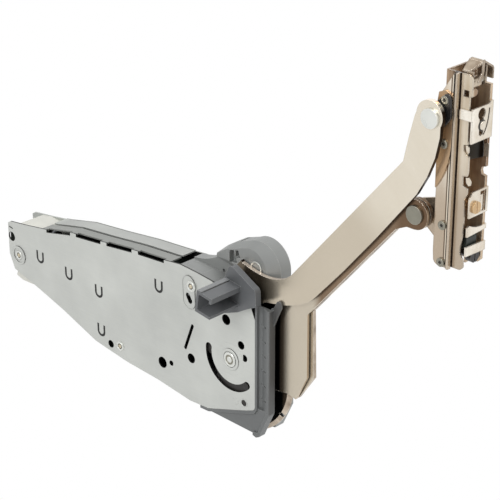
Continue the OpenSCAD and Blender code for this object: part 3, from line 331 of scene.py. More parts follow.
# tones are 0 to 255, widths and places are in metres, and a tone pair varies with the drift
# shades: tone, direction, where it starts and is full along it, and how much that line wavers
# faces: tone, direction, and how squarely a face looks that way where it starts and is full
leverAngle = math.radians(-46.5)   # the lever's polish runs along it
finishes = {
    # the near plate: painted shade on its cut walls, with a plain grey given back to the strip behind the
    # sheet
    "galvanised": {"dark": (186, 188, 184), "light": (206, 208, 203), "edge": (226, 227, 223),
                   "metallic": 0.5, "rough": (0.36, 0.5), "driftSize": 18.0, "driftContrast": 1.2,
                   "brushAngle": 0.0, "brushShare": 0.25, "grainSize": 700.0, "bump": 0.08, "edgeHighlight": 0.3,
                   "cutShadeTone": (30, 31, 29), "shades": [((142, 144, 140), (0, 1, 0), -0.0239, -0.0238, 0.0)]},
    # the wall plate: painted shade on its inner face, seen through the slots; its rear end and its outer face
    # keep a plain tone
    "stripSteel": {"dark": (150, 152, 149), "light": (186, 188, 184), "edge": (222, 223, 219),
                   "metallic": 0.5, "rough": (0.36, 0.5), "driftSize": 18.0, "driftContrast": 1.6,
                   "grainSize": 700.0, "bump": 0.08,
                   "shades": [((26, 27, 26), (0, 1, 0), -0.0013, -0.00125, 0.0),
                              (((150, 152, 149), (196, 200, 194)), (-1, 0, 0), 0.190, 0.196, 0.004),
                              ((178, 180, 176), (0, 1, 0), -0.0008, -0.0006, 0.0)]},
    "greyMoulding": {"dark": (124, 126, 125), "light": (146, 148, 146), "edge": (200, 202, 199),
                     "rough": (0.36, 0.5), "driftSize": 24.0, "driftContrast": 1.2, "grainSize": 1500.0,
                     "bump": 0.1, "edgeWidth": 0.0004, "edgeHighlight": 3.0},
    # painted shade on the cover's front end past 34.5 mm, by the slot beside the lever tail
    "coverMoulding": {"dark": (92, 94, 94), "light": (112, 114, 114), "edge": (164, 166, 164),
                      "rough": (0.36, 0.52), "driftSize": 24.0, "grainSize": 1500.0, "bump": 0.1,
                      "edgeWidth": 0.0004, "edgeHighlight": 3.0,
                      "shades": [((76, 76, 75), (1, 0, 0), 0.0345, 0.0355, 0.0)]},
    "darkMoulding": {"dark": (84, 86, 88), "light": (102, 104, 106), "edge": (160, 161, 160),
                     "rough": (0.36, 0.5), "driftSize": 40.0, "grainSize": 1500.0, "bump": 0.1,
                     "edgeWidth": 0.0004, "edgeHighlight": 3.0},
    "socketRib": {"dark": (118, 120, 121), "light": (134, 136, 137), "edge": (176, 177, 175),
                  "rough": (0.36, 0.5), "driftSize": 40.0, "grainSize": 1500.0, "bump": 0.1,
                  "edgeWidth": 0.0003, "edgeHighlight": 3.0},
    "creamMoulding": {"dark": (196, 196, 188), "light": (222, 221, 212), "edge": (236, 235, 228),
                      "rough": (0.4, 0.55), "driftSize": 40.0, "grainSize": 1200.0, "bump": 0.1},
    "blackMoulding": {"dark": (20, 26, 23), "light": (36, 42, 38), "edge": (60, 66, 62),
                      "rough": (0.3, 0.5), "driftSize": 40.0, "grainSize": 1200.0, "bump": 0.15},
    # the upper arm: painted shade over its lower half and below the collar, painted shade on cut edges
    # looking down and forward, and a painted highlight on faces looking up
    "nickelArm": {"dark": (214, 204, 186), "light": (236, 229, 215), "edge": (250, 246, 236),
                  "metallic": 0.8, "rough": (0.2, 0.3), "driftSize": 10.0, "driftContrast": 1.2,
                  "brushAngle": leverAngle, "brushSize": 30.0, "brushStretch": 14.0, "brushShare": 0.25,
                  "bandLow": 0.1, "bandHigh": 0.9, "edgeWidth": 0.0003, "bump": 0.015,
                  "shades": [(((192, 181, 162), (208, 198, 180)), (-0.7, 0, -1), -0.24, -0.185, 0.01),
                             ((98, 88, 74), (-1, 0, 0), -0.038, -0.018, 0.005)],
                  "faces": [((46, 34, 24), (0.7, 0, -0.7), 0.1, 0.35),
                            ((254, 238, 222), (-0.3, 0, 0.95), 0.5, 0.75)]},
    # the tail and lower arm: painted light and shade mottled over the hub below the housing, painted shadow
    # in the slot beside the cover, painted shade along the lower arm and by the bracket eye, and a mid
    # painted tone on faces looking down and forward
    "nickelTail": {"dark": (186, 176, 158), "light": (208, 199, 182), "edge": (236, 228, 212),
                   "metallic": 0.8, "rough": (0.2, 0.3), "driftSize": 10.0, "driftContrast": 1.2,
                   "brushAngle": leverAngle, "brushSize": 30.0, "brushStretch": 14.0, "brushShare": 0.25,
                   "bandLow": 0.1, "bandHigh": 0.9, "edgeWidth": 0.0004, "edgeHighlight": 3.0, "bump": 0.015,
                   "shades": [(((84, 68, 52), (236, 226, 210)), (0, 0, -1), 0.030, 0.033, 0.0),
                              ((104, 92, 78), (-1, 0, 0), -0.0425, -0.0385, 0.0),
                              ((10, 11, 13), (-1, 0, 0), -0.0378, -0.0355, 0.0),
                              (((88, 66, 49), (164, 140, 114)), (1, 0, 0), 0.065, 0.074, 0.003),
                              (((92, 70, 52), (128, 104, 80)), (1, 0, 0), 0.129, 0.137, 0.003)],
                   "faces": [((196, 178, 156), (0.7, 0, -0.7), 0.1, 0.35)]},
    # the bracket side plate: painted shade toward the bottom, painted shadow in the lines beside its raised
    # strip, a painted dark reflection inside the edges and painted shade on faces looking down and forward
    "bracketNickel": {"dark": (196, 178, 154), "light": (242, 234, 220), "edge": (254, 250, 242),
                      "metallic": 0.75, "rough": (0.14, 0.26), "driftSize": 16.0, "driftContrast": 1.6,
                      "brushAngle": 0.0, "brushSize": 190.0, "brushStretch": 0.06, "brushShare": 0.55,
                      "bump": 0.02,
                      "shades": [((184, 168, 148), (0, 0, -1), -0.185, -0.135, 0.02),
                                 ((108, 90, 74), (1, 0, 0), 0.1630, 0.1633, 0.0),
                                 (((200, 184, 162), (242, 234, 218)), (1, 0, 0), 0.1639, 0.1642, 0.0),
                                 ((18, 13, 10), (1, 0, 0), 0.1646, 0.1649, 0.0),
                                 (((176, 160, 142), (214, 200, 180)), (1, 0, -0.01), 0.1645, 0.1648, 0.0)],
                      "rim": (104, 84, 64), "edgeWidth": 0.0003,
                      "faces": [((96, 76, 56), (0.6, 0, -0.8), 0.75, 0.95)]},
    # painted dark reflection inside the edges and painted shade on faces looking down
    "plainNickel": {"dark": (206, 192, 172), "light": (246, 240, 228), "edge": (255, 252, 246),
                    "metallic": 0.75, "rough": (0.14, 0.26), "driftSize": 40.0, "driftContrast": 1.8,
                    "brushAngle": 0.0, "brushSize": 150.0, "brushStretch": 0.2, "brushShare": 0.4,
                    "bump": 0.02, "rim": (116, 96, 74), "edgeWidth": 0.0003, "edgeHighlight": 3.0,
                    "faces": [((104, 84, 62), (0, 0, -1), 0.5, 0.9)]},
    # painted dark reflection inside the edges
    "hookNickel": {"dark": (128, 108, 88), "light": (214, 200, 180), "edge": (252, 246, 236),
                   "metallic": 0.7, "rough": (0.14, 0.26), "driftSize": 90.0, "driftContrast": 2.2,
                   "bump": 0.02, "rim": (74, 56, 42), "edgeWidth": 0.0003, "edgeHighlight": 3.0},
    # the channel: painted shade toward the bottom, a painted shadow line by the near wall, painted shade
    # inside the channel and on its back web, and a painted dark reflection inside the edges
    "channelNickel": {"dark": (192, 176, 152), "light": (240, 232, 217), "edge": (254, 249, 240),
                      "metallic": 0.6, "rough": (0.14, 0.28), "driftSize": 22.0, "driftContrast": 1.8,
                      "brushAngle": 0.0, "brushSize": 210.0, "brushStretch": 0.06, "brushShare": 0.5,
                      "bump": 0.02, "rim": (92, 72, 54), "edgeWidth": 0.0003, "edgeHighlight": 3.0,
                      "shades": [((182, 167, 148), (0, 0, -1), -0.19, -0.15, 0.01),
                                 ((52, 40, 31), (-1, 0, 0), -0.1690, -0.1687, 0.0),
                                 (((128, 96, 70), (236, 214, 184)), (0, 1, 0), -0.0092, -0.0082, 0.0),
                                 (((104, 80, 60), (216, 188, 156)), (-1, 0, 0), -0.166, -0.160, 0.0)]},
    "earBronze": {"dark": (146, 116, 86), "light": (196, 166, 132), "edge": (216, 196, 166),
                  "metallic": 0.7, "rough": (0.16, 0.3), "driftSize": 30.0, "driftContrast": 1.8,
                  "bump": 0.02},
    "gunmetal": {"dark": (46, 44, 44), "light": (82, 80, 80), "edge": (150, 146, 140),
                 "metallic": 0.8, "rough": (0.18, 0.34), "driftSize": 60.0, "bump": 0.05},
    "brightSteel": {"dark": (206, 208, 202), "light": (228, 229, 224), "edge": (246, 246, 243),
                    "metallic": 0.6, "rough": (0.22, 0.35), "driftSize": 60.0, "bump": 0.05},
    "dullSteel": {"dark": (112, 110, 98), "light": (156, 153, 140), "edge": (204, 200, 188),
                  "metallic": 0.7, "rough": (0.22, 0.38), "driftSize": 60.0, "bump": 0.05},
    # painted dark reflection inside the edges
    "tabNickel": {"dark": (198, 184, 164), "light": (244, 236, 222), "edge": (254, 250, 242),
                  "metallic": 0.75, "rough": (0.14, 0.26), "driftSize": 60.0, "bump": 0.02,
                  "rim": (62, 46, 34), "rimWidth": 0.0006, "edgeWidth": 0.0002, "edgeHighlight": 3.0},
    # painted shade toward the plate's right end
    "slatePlate": {"dark": (96, 102, 104), "light": (130, 136, 138), "edge": (160, 162, 162),
                   "metallic": 0.5, "rough": (0.24, 0.38), "driftSize": 60.0, "bump": 0.02,
                   "shades": [((40, 34, 28), (1, 0, 0), 0.1695, 0.1725, 0.0)]},
    "warmSteel": {"dark": (176, 164, 138), "light": (216, 206, 182), "edge": (240, 234, 216),
                  "metallic": 0.7, "rough": (0.2, 0.35), "driftSize": 80.0, "bump": 0.05},
    "dullZinc": {"dark": (142, 144, 142), "light": (166, 168, 165), "edge": (196, 198, 194),
                 "metallic": 0.4, "rough": (0.3, 0.45), "driftSize": 60.0, "bump": 0.05},
    "recessShade": {"dark": (30, 28, 26), "light": (60, 57, 52), "edge": (90, 86, 80),
                    "metallic": 0.5, "rough": (0.3, 0.5), "driftSize": 60.0, "bump": 0.05},
    "slitShade": {"dark": (14, 14, 13), "light": (28, 28, 26), "edge": (30, 30, 28),
                  "metallic": 0.2, "rough": (0.4, 0.6), "driftSize": 60.0, "bump": 0.05},
    # steel of the parts inside the housing, darkened as painted shade
    "shadedInnerSteel": {"dark": (26, 25, 24), "light": (46, 43, 40), "edge": (84, 80, 74),
                  "metallic": 0.3, "rough": (0.3, 0.5), "driftSize": 60.0, "bump": 0.1},
    "springSteel": {"dark": (70, 72, 74), "light": (110, 112, 114), "edge": (150, 152, 154),
                    "metallic": 0.8, "rough": (0.25, 0.4), "driftSize": 80.0, "bump": 0.08},
    "brass": {"dark": (176, 140, 98), "light": (222, 192, 150), "edge": (240, 220, 188),
              "metallic": 0.85, "rough": (0.2, 0.36), "driftSize": 80.0, "bump": 0.05},
}
# the hub disc has the tail's finish, with painted light and shade mottled in brown over its rim, and a plain
# face toward the wall that is free of the painted shadow
finishes["hubNickel"] = dict(finishes["nickelTail"], driftSize=70.0, driftContrast=2.4,
                             faces=[(((92, 70, 50), (226, 212, 194)), (0.7, 0, -0.7), 0.1, 0.35),
                                    (((186, 176, 158), (208, 199, 182)), (0, 1, 0), 0.5, 0.9)])
materials = {name: makeFinish(name, look) for name, look in finishes.items()}
print("finishes built:", len(materials))

nodeFinish = {
    "near_plate": "galvanised", "wall_plate": "stripSteel", "front_cover": "coverMoulding",
    "body_block": "greyMoulding", "far_block": "greyMoulding", "nose_cap": "greyMoulding",
    "cap_rivet": "dullZinc", "spring_seat": "creamMoulding", "guide_rods": "brightSteel",
    "compression_springs": "springSteel", "slider": "blackMoulding", "cam_roller": "shadedInnerSteel",
    "roller_pin": "shadedInnerSteel", "cam_rocker": "shadedInnerSteel", "slot_pin": "shadedInnerSteel",
    "drive_stud": "brightSteel", "coupling_link": "shadedInnerSteel", "rocker_link_pin": "shadedInnerSteel",
    "lever_link_pin": "shadedInnerSteel", "pivot_axle": "brightSteel", "shaft_socket": "darkMoulding",
    "plate_rivets": "brightSteel", "lower_pivot": "brightSteel", "upper_lever": "nickelArm",
    "face_plate": "nickelTail", "back_plate": "hubNickel", "plate_pair_rivets": "brightSteel",
    "bracket_rivet": "brightSteel", "bracket_washers": "gunmetal", "lower_rivet": "dullSteel",
    "lower_spacer": "gunmetal", "side_plate": "bracketNickel", "ear_plate": "earBronze",
    "pivot_boss": "gunmetal", "bracket_screws": "dullSteel", "channel": "channelNickel",
    "keyhole_plate": "plainNickel", "lock_finger": "plainNickel", "eccentric_plate": "plainNickel",
    "height_eccentric": "brass", "cross_bars": "plainNickel", "side_screw": "gunmetal",
    "release_hook": "hookNickel", "hook_pin": "brightSteel",
}


def dressNode(name, finish):
    piece = nodes[name]
    if not piece.material_slots:
        piece.data.materials.append(materials[finish])
    for place in piece.material_slots:
        place.material = materials[finish]


for name, finish in nodeFinish.items():
    dressNode(name, finish)
print("solids dressed:", len(nodeFinish))


outward = (0, -1, 0)   # from the near plate toward the viewer
forward = (1, 0, 0)   # out of the cabinet
joinDistance = 1e-6
stampJoinDistance = 1e-7


def plainMesh(name, build, finish, body):
    # one mesh piece from a bmesh builder, normals outward, on its body; a stamp has no body
    shape = bmesh.new()
    build(shape)
    bmesh.ops.remove_doubles(shape, verts=shape.verts, dist=joinDistance)
    bmesh.ops.recalc_face_normals(shape, faces=shape.faces)
    mesh = bpy.data.meshes.new(name)
    shape.to_mesh(mesh)
    shape.free()
    piece = bpy.data.objects.new(name, mesh)
    bpy.context.scene.collection.objects.link(piece)
    mesh.materials.append(materials[finish])
    if body:
        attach(piece, body)
    return piece


def lathe(shape, centre, along, profile, steps, hollow=False, lobes=0, lobeDepth=0.0, lobeRings=()):
    # turns (radius, height) pairs in mm about an axis; rings named in lobeRings are scalloped
    axis = Vector(along).normalized()
    side = axis.orthogonal().normalized()
    other = axis.cross(side)
    rings = []
    for number, (radius, height) in enumerate(profile):
        ring = []
        for step in range(steps):
            turn = 2 * math.pi * step / steps
            reach = radius
            if number in lobeRings:
                reach = radius * (1 - lobeDepth * (0.5 + 0.5 * math.cos(lobes * turn)))
            offset = side * math.cos(turn) * reach + other * math.sin(turn) * reach + axis * height
            ring.append(shape.verts.new(Vector(centre) / 1000 + offset / 1000))
        rings.append(ring)
    for lower, upper in zip(rings, rings[1:]):
        for step in range(steps):
            shape.faces.new((lower[step], lower[(step + 1) % steps], upper[(step + 1) % steps], upper[step]))
    if hollow:
        for step in range(steps):
            shape.faces.new((rings[-1][step], rings[-1][(step + 1) % steps],
                             rings[0][(step + 1) % steps], rings[0][step]))
    else:
        shape.faces.new(rings[0])
        shape.faces.new(rings[-1])


def ribbon(shape, line, near, far, thick):
    # a strip across the fitting that follows a line of (x, z) points in mm
    rings = []
    for number, (x, z) in enumerate(line):
        before, after = line[max(number - 1, 0)], line[min(number + 1, len(line) - 1)]
        run = Vector((after[0] - before[0], after[1] - before[1])).normalized()
        dx, dz = -run.y * thick, run.x * thick
        rings.append([shape.verts.new(mm(*place)) for place in
                      ((x, near, z), (x, far, z), (x + dx, far, z + dz), (x + dx, near, z + dz))])
    for lower, upper in zip(rings, rings[1:]):
        for n in range(4):
            shape.faces.new((lower[n], lower[(n + 1) % 4], upper[(n + 1) % 4], upper[n]))
    shape.faces.new(rings[0])
    shape.faces.new(rings[-1])


def prism(shape, outline, near, far):
    # an outline of (x, z) points in mm, carried across the fitting
    first = [shape.verts.new(mm(x, near, z)) for x, z in outline]
    last = [shape.verts.new(mm(x, far, z)) for x, z in outline]
    for n in range(len(outline)):
        m = (n + 1) % len(outline)
        shape.faces.new((first[n], first[m], last[m], last[n]))
    shape.faces.new(first)
    shape.faces.new(last)


def makeStampTree():
    # puts a copy of one object on every point, as real geometry with one material
    tree = bpy.data.node_groups.new("stampOnPoints", "GeometryNodeTree")
    tree.interface.new_socket("Geometry", in_out="INPUT", socket_type="NodeSocketGeometry")
    tree.interface.new_socket("Stamp", in_out="INPUT", socket_type="NodeSocketObject")
    tree.interface.new_socket("Size", in_out="INPUT", socket_type="NodeSocketFloat")
    tree.interface.new_socket("Finish", in_out="INPUT", socket_type="NodeSocketMaterial")
    tree.interface.new_socket("Geometry", in_out="OUTPUT", socket_type="NodeSocketGeometry")
    given, result = tree.nodes.new("NodeGroupInput"), tree.nodes.new("NodeGroupOutput")
    part = addNode(tree, "GeometryNodeObjectInfo", transform_space="ORIGINAL")
    copies = addNode(tree, "GeometryNodeInstanceOnPoints")
    real = addNode(tree, "GeometryNodeRealizeInstances")
    paint = addNode(tree, "GeometryNodeSetMaterial")
    tree.links.new(given.outputs["Stamp"], part.inputs["Object"])
    tree.links.new(given.outputs["Geometry"], copies.inputs["Points"])
    tree.links.new(part.outputs["Geometry"], copies.inputs["Instance"])
    tree.links.new(given.outputs["Size"], copies.inputs["Scale"])
    tree.links.new(copies.outputs["Instances"], real.inputs["Geometry"])
    tree.links.new(real.outputs["Geometry"], paint.inputs["Geometry"])
    tree.links.new(given.outputs["Finish"], paint.inputs["Material"])
    tree.links.new(paint.outputs["Geometry"], result.inputs["Geometry"])
    return tree


def makeBeadTree():
    # a round bead along a closed line of points, which lies half sunk in the sheet
    tree = bpy.data.node_groups.new("beadOnPath", "GeometryNodeTree")
    tree.interface.new_socket("Geometry", in_out="INPUT", socket_type="NodeSocketGeometry")
    tree.interface.new_socket("Bead Radius", in_out="INPUT", socket_type="NodeSocketFloat")
    tree.interface.new_socket("Spacing", in_out="INPUT", socket_type="NodeSocketFloat")
    tree.interface.new_socket("Finish", in_out="INPUT", socket_type="NodeSocketMaterial")
    tree.interface.new_socket("Geometry", in_out="OUTPUT", socket_type="NodeSocketGeometry")
    given, result = tree.nodes.new("NodeGroupInput"), tree.nodes.new("NodeGroupOutput")
    path = addNode(tree, "GeometryNodeMeshToCurve")
    even = addNode(tree, "GeometryNodeResampleCurve", mode="LENGTH")
    ring = addNode(tree, "GeometryNodeCurvePrimitiveCircle", {"Resolution": 10})
    tube = addNode(tree, "GeometryNodeCurveToMesh")
    paint = addNode(tree, "GeometryNodeSetMaterial")
    tree.links.new(given.outputs["Geometry"], path.inputs["Mesh"])
    tree.links.new(path.outputs["Curve"], even.inputs["Curve"])
    tree.links.new(given.outputs["Spacing"], even.inputs["Length"])
    tree.links.new(even.outputs["Curve"], tube.inputs["Curve"])
    tree.links.new(given.outputs["Bead Radius"], ring.inputs["Radius"])
    tree.links.new(ring.outputs["Curve"], tube.inputs["Profile Curve"])
    tree.links.new(tube.outputs["Mesh"], paint.inputs["Geometry"])
    tree.links.new(given.outputs["Finish"], paint.inputs["Material"])
    tree.links.new(paint.outputs["Geometry"], result.inputs["Geometry"])
    return tree


def socketName(tree, label):
    # the identifier by which a modifier knows a tree's named input
    for item in tree.interface.items_tree:
        if item.name == label and item.in_out == "INPUT":
            return item.identifier


def runTree(name, tree, points, closed, values, body):
    # runs a node tree on points in mm, then keeps only the plain mesh it makes
    mesh = bpy.data.meshes.new(name + "Points")
    count = len(points)
    edges = [(n, (n + 1) % count) for n in range(count)] if closed else []
    mesh.from_pydata([Vector(point) / 1000 for point in points], edges, [])
    source = bpy.data.objects.new(name + "Source", mesh)
    bpy.context.scene.collection.objects.link(source)
    modifier = source.modifiers.new("rule", "NODES")
    modifier.node_group = tree
    for label, value in values.items():
        modifier[socketName(tree, label)] = value
    bpy.context.view_layer.update()
    made = bpy.data.meshes.new_from_object(source.evaluated_get(bpy.context.evaluated_depsgraph_get()))
    source.modifiers.remove(modifier)
    bpy.data.objects.remove(source)
    shape = bmesh.new()
    shape.from_mesh(made)
    bmesh.ops.remove_doubles(shape, verts=shape.verts, dist=stampJoinDistance)
    bmesh.ops.recalc_face_normals(shape, faces=shape.faces)
    shape.to_mesh(made)
    shape.free()
    piece = bpy.data.objects.new(name, made)
    bpy.context.scene.collection.objects.link(piece)
    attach(piece, body)


stampTree = makeStampTree()
beadTree = makeBeadTree()


def stampSet(name, build, points, finish, body):
    # one built shape repeated on every point, as one piece
    stamp = plainMesh(name + "Stamp", build, finish, None)
    values = {"Stamp": stamp, "Size": 1.0, "Finish": materials[finish]}
    runTree(name, stampTree, points, False, values, body)
    bpy.data.objects.remove(stamp)


def makeScrewCrowns():
    # domed crowns with a six-lobed recess on the four bracket screws
    look = {"radius": 2.8, "rise": 0.42, "recess": 1.45, "lobes": 6, "lobeDepth": 0.3, "steps": 48,
            "finish": "dullSteel", "recessFinish": "recessShade"}
    seats = [(160.6, -14.2, 220.8), (161.1, -14.2, 194.5), (161.9, -13.0, 143.7), (162.0, -13.0, 120.0)]
    r, h, s = look["radius"], look["rise"], look["recess"]

    def crown(shape):
        profile = [(r, -0.2), (r, 0), (r - 0.12, 0.2), (r - 0.5, h - 0.04), (s + 0.35, h), (s, h - 0.05),
                   (s - 0.15, 0.06), (0.05, 0.05)]
        lathe(shape, (0, 0, 0), outward, profile, look["steps"],
              lobes=look["lobes"], lobeDepth=look["lobeDepth"], lobeRings=(5, 6))

    def floor(shape):
        lathe(shape, (0, 0, 0), outward, [(s - 0.17, 0.02), (s - 0.17, 0.09), (0.05, 0.11)], look["steps"],
              lobes=look["lobes"], lobeDepth=look["lobeDepth"], lobeRings=(0, 1))

    stampSet("screwCrowns", crown, seats, look["finish"], "bracket")
    stampSet("screwRecesses", floor, seats, look["recessFinish"], "bracket")


def makePlateRivetCrowns():
    # the dished ends of the three housing rivets: a rim, a shadowed groove and a warm centre
    look = {"radius": 3.3, "groove": (1.5, 2.1), "rise": 0.45, "steps": 48, "finish": "brightSteel",
            "grooveFinish": "recessShade", "centreFinish": "warmSteel"}
    r, h = look["radius"], look["rise"]
    b, a = look["groove"]
    ends = [(-223.2, -25.4, 5.1), (-36.6, -26.1, 42.0), (-111.5, -25.6, -30.9)]

    def rim(shape):
        profile = [(r, -0.15), (r, 0.06), (r - 0.2, h - 0.12), (r - 0.6, h), (a + 0.2, h - 0.1), (a, 0.1),
                   (a, -0.15)]
        lathe(shape, (0, 0, 0), outward, profile, look["steps"], hollow=True)

    def groove(shape):
        lathe(shape, (0, 0, 0), outward, [(a + 0.02, -0.1), (a + 0.02, 0.06), (0.05, 0.07)], look["steps"])

    def centre(shape):
        profile = [(b, 0.02), (b, 0.2), (b - 0.3, h - 0.06), (0.7, h), (0.05, h + 0.02)]
        lathe(shape, (0, 0, 0), outward, profile, look["steps"])

    stampSet("plateRivetRims", rim, ends, look["finish"], "housing")
    stampSet("plateRivetGrooves", groove, ends, look["grooveFinish"], "housing")
    stampSet("plateRivetCentres", centre, ends, look["centreFinish"], "housing")


def makeFootEyelet():
    # the small eyelet in the plate's front foot corner, and the dimple pressed beside it
    look = {"eyelet": (12.4, -25.0, -28.9), "dimple": (4.6, -25.0, -30.6), "outer": 3.1, "inner": 2.3,
            "dimpleRadius": 2.5, "steps": 48, "finish": "galvanised", "shadeFinish": "recessShade"}
    a, b, c = look["outer"], look["inner"], look["dimpleRadius"]

    def raised(shape):
        collar = [(a, -0.1), (a, 0.08), (a - 0.3, 0.26), (b + 0.2, 0.26), (b, 0.1), (b, -0.1)]
        bulge = [(c, -0.1), (c, 0.02), (c - 0.6, 0.2), (c - 1.4, 0.32), (0.05, 0.34)]
        lathe(shape, look["eyelet"], outward, collar, look["steps"], hollow=True)
        lathe(shape, look["dimple"], outward, bulge, look["steps"])

    def shade(shape):
        profile = [(b + 0.02, -0.1), (b + 0.02, 0.05), (0.05, 0.06)]
        lathe(shape, look["eyelet"], outward, profile, look["steps"])

    plainMesh("footEyelet", raised, look["finish"], "housing")
    plainMesh("footEyeletShade", shade, look["shadeFinish"], "housing")


def makeStudRings():
    # the ring boss pressed in the near plate, and the stepped end of the stud in its middle
    boss = {"flare": 11.8, "outer": 7.85, "inner": 5.75, "rise": 0.3, "finish": "galvanised", "steps": 96}
    stud = {"outer": 5.35, "groove": (2.2, 3.5), "finish": "brightSteel", "grooveFinish": "dullSteel",
            "steps": 96}
    plateFace, bossFace, studFace = -25, -25.8, -26.2
    f, a, b, h = boss["flare"], boss["outer"], boss["inner"], boss["rise"]
    e, (low, high) = stud["outer"], stud["groove"]

    def flare(shape):
        profile = [(f, -0.1), (f, 0.01), (f - 0.9, 0.1), (f - 2.4, 0.3), (a, 0.42), (a, -0.1)]
        lathe(shape, (0, plateFace, 0), outward, profile, boss["steps"], hollow=True)

    def ring(shape):
        profile = [(a, -0.1), (a, 0.04), (a - 0.3, h - 0.08), (a - 0.8, h), (b + 0.5, h), (b + 0.1, h - 0.12),
                   (b, -0.1)]
        lathe(shape, (0, bossFace, 0), outward, profile, boss["steps"], hollow=True)

    def end(shape):
        profile = [(e, -0.85), (e, 0), (e - 0.25, 0.26), (high + 0.25, 0.3), (high, 0.1), (low, 0.1),
                   (low - 0.25, 0.3), (0.6, 0.4), (0.05, 0.4)]
        lathe(shape, (0, studFace, 0), outward, profile, stud["steps"])

    # a darker ring in the stud's groove: painted shade
    def groove(shape):
        profile = [(high + 0.02, 0.02), (high + 0.02, 0.15), (low - 0.02, 0.14), (low - 0.02, 0.02)]
        lathe(shape, (0, studFace, 0), outward, profile, stud["steps"], hollow=True)

    plainMesh("studFlare", flare, boss["finish"], "housing")
    plainMesh("studBoss", ring, boss["finish"], "housing")
    plainMesh("studEnd", end, stud["finish"], "housing")
    plainMesh("studGrooves", groove, stud["grooveFinish"], "housing")


def makeOvalBead():
    # the raised outline pressed round the upper rivet and the slot below it
    look = {"top": (-39.5, 43.0), "foot": (-39.0, 30.0), "reach": 5.6, "face": -25.5, "radius": 0.28,
            "spacing": 0.6, "steps": 18, "finish": "galvanised"}
    reach, steps = look["reach"], look["steps"]
    (topX, topZ), (footX, footZ) = look["top"], look["foot"]
    lean = math.atan2(topX - footX, topZ - footZ)
    path = []
    for middle, first in ((look["top"], 0), (look["foot"], 180)):
        for step in range(steps + 1):
            turn = math.radians(first + 180 * step / steps) - lean
            x, z = middle[0] + reach * math.cos(turn), middle[1] + reach * math.sin(turn)
            path.append((x, look["face"], z))
    values = {"Bead Radius": look["radius"] / 1000, "Spacing": look["spacing"] / 1000,
              "Finish": materials[look["finish"]]}
    runTree("ovalBead", beadTree, path, True, values, "housing")


def makeLockButton():
    # the round lock button in the foot of the keyhole, with the shadowed seat it sits in
    look = {"seat": (177.7, -0.9, 206.8), "button": (177.72, -0.2, 206.5), "radius": 2.7, "seatMargin": 0.7,
            "finish": "plainNickel", "seatFinish": "recessShade", "steps": 48}
    r = look["radius"]
    wide = r + look["seatMargin"]

    def button(shape):
        profile = [(r, 0), (r, 0.25), (r - 0.25, 0.46), (r - 0.8, 0.52), (r - 1.1, 0.4), (0.05, 0.43)]
        lathe(shape, look["button"], forward, profile, look["steps"])

    def seat(shape):
        lathe(shape, look["seat"], forward, [(wide, -0.2), (wide, 0.04), (0.05, 0.05)], look["steps"])

    piece = plainMesh("lockButton", button, look["finish"], "door_channel")
    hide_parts("lock_finger")
    plainMesh("lockSeat", seat, look["seatFinish"], "door_channel")


def makeSeat():
    # the cream spring seat with its crown drawn down between the plates, as the photo shows it
    look = {"crown": {-226.0: 28.6, -222.0: 31.0, -212.0: 32.6, -202.0: 32.0, -198.0: 31.4},
            "movedAbove": 30.8, "match": 0.2, "finish": "creamMoulding"}
    mesh = nodes["spring_seat"].data.copy()
    for vertex in mesh.vertices:
        x, z = vertex.co.x * 1000, vertex.co.z * 1000
        corner = min(look["crown"], key=lambda place: abs(place - x))
        if z > look["movedAbove"] and abs(corner - x) < look["match"]:
            vertex.co.z = look["crown"][corner] / 1000
    piece = bpy.data.objects.new("creamSeat", mesh)
    bpy.context.scene.collection.objects.link(piece)
    mesh.materials.clear()
    mesh.materials.append(materials[look["finish"]])
    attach(piece, "housing")
    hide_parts("spring_seat")


def makeHoleShadeWashers():
    # thin dark washers in the wall plate's fixing holes: painted shade that darkens the holes
    look = {"outer": 4.2, "inner": 0.9, "thick": 0.5, "finish": "blackMoulding", "steps": 40}
    holes = [(-230.0, -1.19, 18.1), (-121.9, -1.19, -33.0), (-67.4, -1.19, -27.7)]
    a, b, t = look["outer"], look["inner"], look["thick"]

    def washer(shape):
        profile = [(a, 0), (a, t - 0.1), (a - 0.2, t), (b + 0.6, t), (b, t - 0.15), (b, 0)]
        lathe(shape, (0, 0, 0), outward, profile, look["steps"], hollow=True)

    stampSet("screwRetainers", washer, holes, look["finish"], "housing")


def makeSocketDetail():
    # the raised rib along the socket's top, with the shadowed groove beside it
    look = {"pivot": (7.0, 54.0), "lean": -8.0, "near": -56.6, "far": -30.5, "finish": "socketRib",
            "grooveFinish": "recessShade"}
    turn = math.radians(look["lean"])
    px, pz = look["pivot"]

    def leaned(points):
        return [(px + x * math.cos(turn) - z * math.sin(turn), pz + x * math.sin(turn) + z * math.cos(turn))
                for x, z in points]

    def rib(shape):
        outline = leaned([(-6.7, 7.7), (-6.7, 8.2), (-6.4, 8.4), (-3.4, 8.4), (-3.1, 8.2), (-3.1, 7.7)])
        prism(shape, outline, look["near"], look["far"])

    def groove(shape):
        outline = leaned([(-3.12, 7.7), (-3.12, 7.8), (-2.5, 7.8), (-2.5, 7.7)])
        prism(shape, outline, look["near"] + 2, look["far"] - 1)

    plainMesh("socketRib", rib, look["finish"], "upper_arm")
    plainMesh("socketGroove", groove, look["grooveFinish"], "upper_arm")


def makeCapRing():
    # the bright ring round the nose cap's rivet
    look = {"centre": (14.4, -15.6, 68.6), "outer": 4.7, "inner": 3.9, "rise": 0.3, "finish": "brightSteel",
            "steps": 64}
    a, b, h = look["outer"], look["inner"], look["rise"]

    def ring(shape):
        profile = [(a, -0.1), (a, h * 0.6), (a - 0.2, h), (b + 0.2, h), (b, h * 0.5), (b, -0.1)]
        lathe(shape, look["centre"], outward, profile, look["steps"], hollow=True)

    plainMesh("capRing", ring, look["finish"], "housing")


